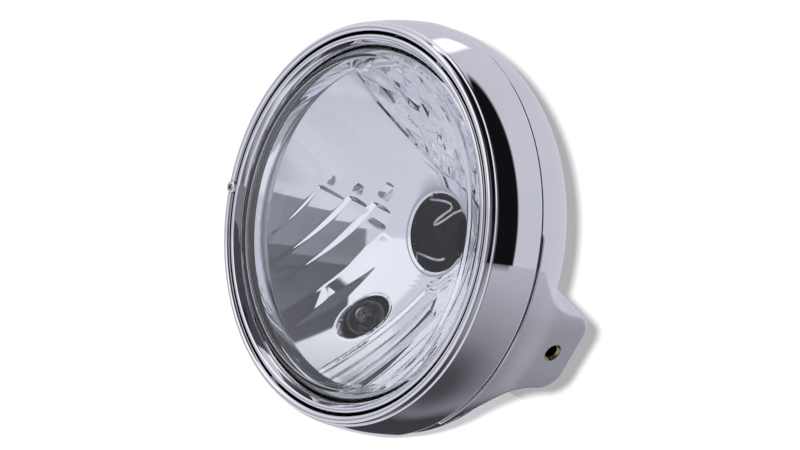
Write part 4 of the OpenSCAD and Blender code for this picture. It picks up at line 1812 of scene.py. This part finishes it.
@dataclass
class SmallPieces:
    """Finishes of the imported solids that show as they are."""

    finishes: dict[str, Finish] = field(default_factory=lambda: {
        "seam_seal": BLACK_RUBBER, "ear_nuts": YELLOW_ZINC, "ring_hook": ZINC, "ring_screw": SCREW_CHROME,
        "ring_screw_nut": ZINC, "cable_grommet": BLACK_RUBBER, "pivot_pins": ZINC, "pivot_washers": NYLON,
        "lens_gasket": GREY_RUBBER, "unit_clips": SPRING, "bulb_seat": ZINC, "bulb_clip": SPRING,
        "clip_post": ZINC, "dust_boot": BLACK_RUBBER, "aim_nut": ZINC, "aim_spring": SPRING,
    })

    def dress(self) -> None:
        """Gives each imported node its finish."""
        for name, finish in self.finishes.items():
            finish.put_on(node_piece(name))
            LOG.info("packed node %s gets %s", name, finish.name)


# Studio


@dataclass
class Viewpoint:
    """Camera of the photograph, from a fit of circles on the lamp axis.

    Attributes:
        azimuth: Turn of the camera round the lamp, in degrees from straight in front.
        elevation: Height of the camera over the lamp, in degrees.
        roll: Roll of the camera, in degrees.
        aim_right: How far the picture's middle lies right of the ring's shoulder, in millimetres.
        aim_up: How far it lies above it.
        distance: Distance of the camera from the plane of the picture, in millimetres.
        focal_px: Focal length in pixels of the photograph.
        width_px: Width of the photograph in pixels.
        sensor: Width of the sensor in millimetres.
        far_m: How far the camera sees, in metres.
    """

    azimuth: float = 43.528
    elevation: float = 21.728
    roll: float = 28.033
    aim_right: float = 20.677
    aim_up: float = -0.843
    distance: float = 1200.0
    focal_px: float = 2557.0
    width_px: float = 800.0
    sensor: float = 36.0
    far_m: float = 20.0

    def axes(self) -> tuple[Vector, Vector, Vector]:
        """Right, up and backward directions of the camera."""
        a, e, roll = (math.radians(v) for v in (self.azimuth, self.elevation, self.roll))
        back = Vector((math.sin(a) * math.cos(e), -math.cos(a) * math.cos(e), math.sin(e)))
        level = Vector((math.cos(a), math.sin(a), 0))
        upright = back.cross(level)
        right = level * math.cos(roll) + upright * math.sin(roll)
        up = upright * math.cos(roll) - level * math.sin(roll)
        return right, up, back

    def build(self) -> bpy.types.Object:
        """Makes the camera.

        Returns:
            The camera.
        """
        right, up, back = self.axes()
        data = bpy.data.cameras.new("camera")
        data.sensor_width = self.sensor
        data.lens = self.focal_px * self.sensor / self.width_px
        data.clip_end = self.far_m
        camera = bpy.data.objects.new("camera", data)
        bpy.context.collection.objects.link(camera)
        place = Vector((0, -SHOULDER_MM, 0)) + back * self.distance
        place = place + right * self.aim_right + up * self.aim_up
        turn = Matrix((right, up, back)).transposed().to_4x4()
        camera.matrix_world = Matrix.Translation(place * MM) @ turn
        bpy.context.scene.camera = camera
        return camera


class Axis(str, Enum):
    """Directions along which the fields of the studio's light have their bounds."""

    RIGHT = "right in the picture"
    UP = "up in the picture"
    BACK = "to the camera"
    DEPTH = "back along the lamp axis"
    RISING = "up and a little right"
    ASLANT = "up and right"


Bound = tuple[Axis, float, float]


@dataclass(frozen=True)
class LightField:
    """A field of the studio's light.

    Attributes:
        name: What it is.
        colour: Its colour.
        bounds: Axes with the places where a soft step begins and where it is complete.
    """

    name: str
    colour: Colour
    bounds: tuple[Bound, ...]


PALE_SIDE: Colour = (0.76, 0.77, 0.84)
DIM_ROOM: Colour = (0.15, 0.15, 0.168)
WHITE_CARD: Colour = (1.05, 1.06, 1.10)
IN_FRONT: tuple[Bound, ...] = (
    (Axis.BACK, 0.24, 0.29), (Axis.RIGHT, 0.45, 0.30), (Axis.RIGHT, -0.425, -0.405))
# Each field is laid over the ones before it
LIGHT_FIELDS = (
    LightField("pale side", PALE_SIDE, (
        (Axis.RIGHT, -0.24, -0.44), (Axis.UP, -0.96, -0.88), (Axis.BACK, -1.2, -1.05))),
    LightField("pale side in front", PALE_SIDE, (
        (Axis.RIGHT, 0.0, -0.25), (Axis.UP, -0.96, -0.88), (Axis.BACK, 0.05, 0.20))),
    LightField("grey at the far left", (0.42, 0.42, 0.46), ((Axis.RIGHT, -0.90, -0.97),)),
    LightField("dark low behind", (0.05, 0.05, 0.058), (
        (Axis.BACK, -0.50, -0.70), (Axis.UP, -0.29, -0.36), (Axis.RIGHT, 0.50, 0.20),
        (Axis.RIGHT, -0.45, -0.25))),
    LightField("dim room at the right", DIM_ROOM, (
        (Axis.BACK, 0.05, 0.3), (Axis.RIGHT, 0.0, 0.15), (Axis.DEPTH, 0.43, 0.40), (Axis.UP, -0.36, -0.28))),
    LightField("dim room at the camera", DIM_ROOM, (
        (Axis.BACK, 0.45, 0.60), (Axis.RIGHT, 0.0, 0.15))),
    LightField("white card at the left", WHITE_CARD, (
        (Axis.UP, 0.18, 0.24), (Axis.RIGHT, -0.405, -0.425), (Axis.BACK, 0.0, 0.1))),
    LightField("white card above", WHITE_CARD, (
        (Axis.UP, 0.76, 0.82), (Axis.RIGHT, -0.15, -0.22), (Axis.BACK, 0.29, 0.24),
        (Axis.BACK, -0.30, -0.24))),
    LightField("grey in front", (0.21, 0.21, 0.24), IN_FRONT + ((Axis.RISING, -0.215, -0.195),)),
    LightField("dark in front", (0.065, 0.065, 0.078), IN_FRONT + ((Axis.ASLANT, 0.22, 0.24),)),
    LightField("black card at the right", (0.006, 0.006, 0.008), (
        (Axis.DEPTH, 0.455, 0.435), (Axis.RIGHT, 0.06, 0.12), (Axis.UP, -0.30, -0.285),
        (Axis.BACK, 0.66, 0.56))),
    LightField("bright window", (1.7, 1.7, 1.75), (
        (Axis.RIGHT, 0.15, 0.19), (Axis.RIGHT, 0.29, 0.24), (Axis.UP, 0.64, 0.70), (Axis.UP, 0.88, 0.82),
        (Axis.BACK, -0.42, -0.47))),
)
# Tones below the horizon, from straight down to the horizon
LOW_TONES: tuple[tuple[float, Colour], ...] = (
    (0.0, (0.02, 0.02, 0.024)),
    (0.12, (0.08, 0.08, 0.092)),
    (0.3, (0.26, 0.26, 0.29)),
    (0.5, (0.36, 0.36, 0.405)),
    (0.8, (0.47, 0.47, 0.53)),
    (1.0, (0.52, 0.52, 0.58)),
)


def seen_by_camera(tree: bpy.types.NodeTree, others: bpy.types.NodeSocket,
                   camera: bpy.types.NodeSocket) -> bpy.types.NodeSocket:
    """One shader for the camera's rays and another one for all other rays.

    Args:
        tree: Nodes of a material or of the world.
        others: Shader for the other rays.
        camera: Shader for the camera's rays.

    Returns:
        The chosen shader.
    """
    path = added(tree, "ShaderNodeLightPath")
    choice = added(tree, "ShaderNodeMixShader")
    tree.links.new(path.outputs["Is Camera Ray"], choice.inputs["Fac"])
    tree.links.new(others, choice.inputs[1])
    tree.links.new(camera, choice.inputs[2])
    return choice.outputs[0]


@dataclass
class Studio:
    """Light as a colour for each direction, a pale floor and wall, and a lamp that draws the shadow.

    Attributes:
        viewpoint: Camera whose axes the light follows.
        base_tone: Colour of the light where no field lies.
        horizon: How far up the picture the tones of the ground reach.
        horizon_soft: Half the width of the horizon's soft step.
        rising: How much the axis up and a little right leans.
        aslant: How much the axis up and right leans.
        floor_drop: How far the floor lies under the lamp, in metres.
        floor_half: Half the width of the floor.
        floor_tone: How much light the floor gives back.
        floor_glow: The floor's own light.
        wall_gap: How far the wall stands behind the lamp's middle.
        wall_half: Half the width of the wall.
        wall_tone: How much light the wall gives back.
        wall_glow: The wall's own light.
        light_power: Power of the lamp that draws the shadow, in watts.
        light_size: Its width.
        light_left: How far it stands left of the camera.
        light_up: How far it stands above the camera.
    """

    viewpoint: Viewpoint = field(default_factory=Viewpoint)
    base_tone: Colour = (0.64, 0.64, 0.71)
    horizon: float = -0.29
    horizon_soft: float = 0.005
    rising: float = 0.29
    aslant: float = 0.6
    floor_drop: float = 0.003
    floor_half: float = 6.0
    floor_tone: float = 0.5
    floor_glow: float = 0.44
    wall_gap: float = 0.135
    wall_half: float = 3.0
    wall_tone: float = 0.25
    wall_glow: float = 0.34
    light_power: float = 46.0
    light_size: float = 0.030
    light_left: float = 0.040
    light_up: float = 0.022

    def mask(self, tree: bpy.types.NodeTree, value: bpy.types.NodeSocket, start: float,
             end: float) -> bpy.types.NodeSocket:
        """A soft step from 0 at start to 1 at end.

        Args:
            tree: The world's nodes.
            value: Value that is tested.
            start: Where the step begins.
            end: Where it ends.

        Returns:
            The step's output.
        """
        step = added(tree, "ShaderNodeMapRange", interpolation_type="SMOOTHSTEP")
        step.inputs["From Min"].default_value = start
        step.inputs["From Max"].default_value = end
        tree.links.new(value, step.inputs["Value"])
        return step.outputs["Result"]

    def along(self, tree: bpy.types.NodeTree, axis: Vector) -> bpy.types.NodeSocket:
        """How far a direction of the world points along an axis.

        Args:
            tree: The world's nodes.
            axis: The axis.

        Returns:
            Output with the scalar product.
        """
        place = added(tree, "ShaderNodeTexCoord")
        dot = added(tree, "ShaderNodeVectorMath", operation="DOT_PRODUCT")
        dot.inputs[1].default_value = axis
        tree.links.new(place.outputs["Generated"], dot.inputs[0])
        return dot.outputs["Value"]

    def product(self, tree: bpy.types.NodeTree,
                values: Sequence[bpy.types.NodeSocket]) -> bpy.types.NodeSocket:
        """The product of several masks."""
        result = values[0]
        for value in values[1:]:
            times = added(tree, "ShaderNodeMath", operation="MULTIPLY")
            tree.links.new(result, times.inputs[0])
            tree.links.new(value, times.inputs[1])
            result = times.outputs[0]
        return result

    def over(self, tree: bpy.types.NodeTree, base: bpy.types.NodeSocket,
             mask: bpy.types.NodeSocket) -> bpy.types.Node:
        """A blend that shows something else than the base where a mask is 1.

        Args:
            tree: The world's nodes.
            base: Colour below.
            mask: Where the new colour shows.

        Returns:
            The blend, whose input B is still to be set.
        """
        blend = added(tree, "ShaderNodeMix", data_type="RGBA")
        tree.links.new(mask, blend.inputs["Factor"])
        tree.links.new(base, blend.inputs["A"])
        return blend

    def ground(self, tree: bpy.types.NodeTree, upward: bpy.types.NodeSocket) -> bpy.types.NodeSocket:
        """Tones of the ground, from straight down to the horizon.

        Args:
            tree: The world's nodes.
            upward: How far up a direction points.

        Returns:
            The colour.
        """
        table = added(tree, "ShaderNodeValToRGB")
        elements = table.color_ramp.elements
        for element, (_, tone) in zip(elements, (LOW_TONES[0], LOW_TONES[-1])):
            element.color = (*tone, 1)
        for position, tone in LOW_TONES[1:-1]:
            elements.new(position).color = (*tone, 1)
        scale = added(tree, "ShaderNodeMapRange")
        scale.inputs["From Min"].default_value = -1.0
        scale.inputs["From Max"].default_value = self.horizon
        tree.links.new(upward, scale.inputs["Value"])
        tree.links.new(scale.outputs["Result"], table.inputs["Fac"])
        return table.outputs["Color"]

    def world(self) -> None:
        """Makes the studio's light as a colour for each direction."""
        world = bpy.data.worlds.new("studio")
        bpy.context.scene.world = world
        world.use_nodes = True
        tree = world.node_tree
        right, up, back = self.viewpoint.axes()
        places = {
            Axis.RIGHT: self.along(tree, right),
            Axis.UP: self.along(tree, up),
            Axis.BACK: self.along(tree, back),
            Axis.DEPTH: self.along(tree, Vector((0, 1, 0))),
            Axis.RISING: self.along(tree, up + self.rising * right),
            Axis.ASLANT: self.along(tree, up + self.aslant * right),
        }
        base = added(tree, "ShaderNodeRGB")
        base.outputs[0].default_value = (*self.base_tone, 1)
        top, bottom = self.horizon + self.horizon_soft, self.horizon - self.horizon_soft
        edge = self.mask(tree, places[Axis.UP], top, bottom)
        blend = self.over(tree, base.outputs[0], edge)
        tree.links.new(self.ground(tree, places[Axis.UP]), blend.inputs["B"])
        for light in LIGHT_FIELDS:
            steps = [self.mask(tree, places[axis], start, end) for axis, start, end in light.bounds]
            blend = self.over(tree, blend.outputs["Result"], self.product(tree, steps))
            blend.label = light.name
            blend.inputs["B"].default_value = (*light.colour, 1)
        background = tree.nodes["Background"]
        tree.links.new(blend.outputs["Result"], background.inputs["Color"])
        plain = added(tree, "ShaderNodeBackground")
        plain.inputs["Color"].default_value = (1, 1, 1, 1)
        surface = seen_by_camera(tree, background.outputs[0], plain.outputs[0])
        tree.links.new(surface, tree.nodes["World Output"].inputs["Surface"])

    def pale(self, name: str, glow: float, tone: float, one_sided: bool) -> bpy.types.Material:
        """Pale surface of the stage that is white in view and still takes the lamp's shadow.

        Args:
            name: Name of the material.
            glow: Its own light, seen by the camera only.
            tone: How much of the light that falls on it comes back.
            one_sided: Whether it can be seen through from its back.

        Returns:
            The material.
        """
        material = bpy.data.materials.new(name)
        material.use_nodes = True
        tree = material.node_tree
        shader = tree.nodes["Principled BSDF"]
        shader.inputs["Base Color"].default_value = (tone, tone, tone * 1.01, 1)
        shader.inputs["Roughness"].default_value = 0.9
        shader.inputs["Specular IOR Level"].default_value = 0.0
        light = added(tree, "ShaderNodeEmission")
        light.inputs["Color"].default_value = (1, 1, 1, 1)
        light.inputs["Strength"].default_value = glow
        both = added(tree, "ShaderNodeAddShader")
        tree.links.new(shader.outputs[0], both.inputs[0])
        tree.links.new(light.outputs[0], both.inputs[1])
        result = seen_by_camera(tree, shader.outputs[0], both.outputs[0])
        if one_sided:
            clear = added(tree, "ShaderNodeBsdfTransparent")
            side = added(tree, "ShaderNodeNewGeometry")
            sides = added(tree, "ShaderNodeMixShader")
            tree.links.new(side.outputs["Backfacing"], sides.inputs["Fac"])
            tree.links.new(result, sides.inputs[1])
            tree.links.new(clear.outputs[0], sides.inputs[2])
            result = sides.outputs[0]
        tree.links.new(result, tree.nodes["Material Output"].inputs["Surface"])
        return material

    def sheet(self, name: str, middle: Vector, across: Vector, along: Vector,
              material: bpy.types.Material) -> bpy.types.Object:
        """A flat square of the stage.

        Args:
            name: Name of the sheet.
            middle: Its middle, in metres.
            across: Half of one side.
            along: Half of the other side, so that across, along and the normal are right-handed.
            material: Its material.

        Returns:
            The sheet.
        """
        mesh = bpy.data.meshes.new(name)
        low, high = middle - along, middle + along
        corners = [low - across, low + across, high + across, high - across]
        mesh.from_pydata([tuple(c) for c in corners], [], [(0, 1, 2, 3)])
        piece = bpy.data.objects.new(name, mesh)
        bpy.context.collection.objects.link(piece)
        mesh.materials.append(material)
        piece.visible_glossy = False
        piece.visible_transmission = False
        return piece

    def stage(self) -> None:
        """Makes the pale floor, the wall behind the lamp and the lamp that draws the shadow."""
        low, _ = CAD_BOX
        right, up, back = self.viewpoint.axes()
        half = self.floor_half
        pieces = (
            self.sheet("floor", Vector((0, 0, low[2] - self.floor_drop)), Vector((half, 0, 0)),
                       Vector((0, half, 0)),
                       self.pale("pale floor", self.floor_glow, self.floor_tone, False)),
            self.sheet("backdrop", back * -self.wall_gap, right * self.wall_half, up * self.wall_half,
                       self.pale("pale backdrop", self.wall_glow, self.wall_tone, True)),
        )
        lit = bpy.data.collections.new("takes the shadow")
        for piece in pieces:
            lit.objects.link(piece)
        data = bpy.data.lights.new("shadow light", "AREA")
        data.shape = "DISK"
        data.size = self.light_size
        data.energy = self.light_power
        light = bpy.data.objects.new("shadow light", data)
        bpy.context.collection.objects.link(light)
        shift = right * -self.light_left + up * self.light_up
        light.location = bpy.context.scene.camera.location + shift
        light.rotation_euler = back.to_track_quat("Z", "Y").to_euler()
        light.light_linking.receiver_collection = lit
        light.visible_glossy = False
        light.visible_transmission = False

    def build(self) -> None:
        """Makes the world, the stage and the view transform."""
        bpy.context.scene.view_settings.view_transform = "Standard"
        self.world()
        self.stage()


def main() -> None:
    """Builds the camera, the pieces, their finishes and the studio."""
    logging.basicConfig(level=logging.INFO, format="%(message)s")
    Viewpoint().build()
    SmallPieces().dress()
    for part in (TrimRing(), OpticRing(), Lens(), Shell(), Reflector(), PositionLight(), AimScrew()):
        piece = part.build()
        LOG.info("%s has %d faces", piece.name, len(piece.data.polygons))
    RibRing("boot_ribs", 28, 27.4, 63.0, (1.0, 1.2, 6.0)).build(BLACK_RUBBER, Body.OPTIC)
    Studio().build()


if __name__ == "__main__":
    main()
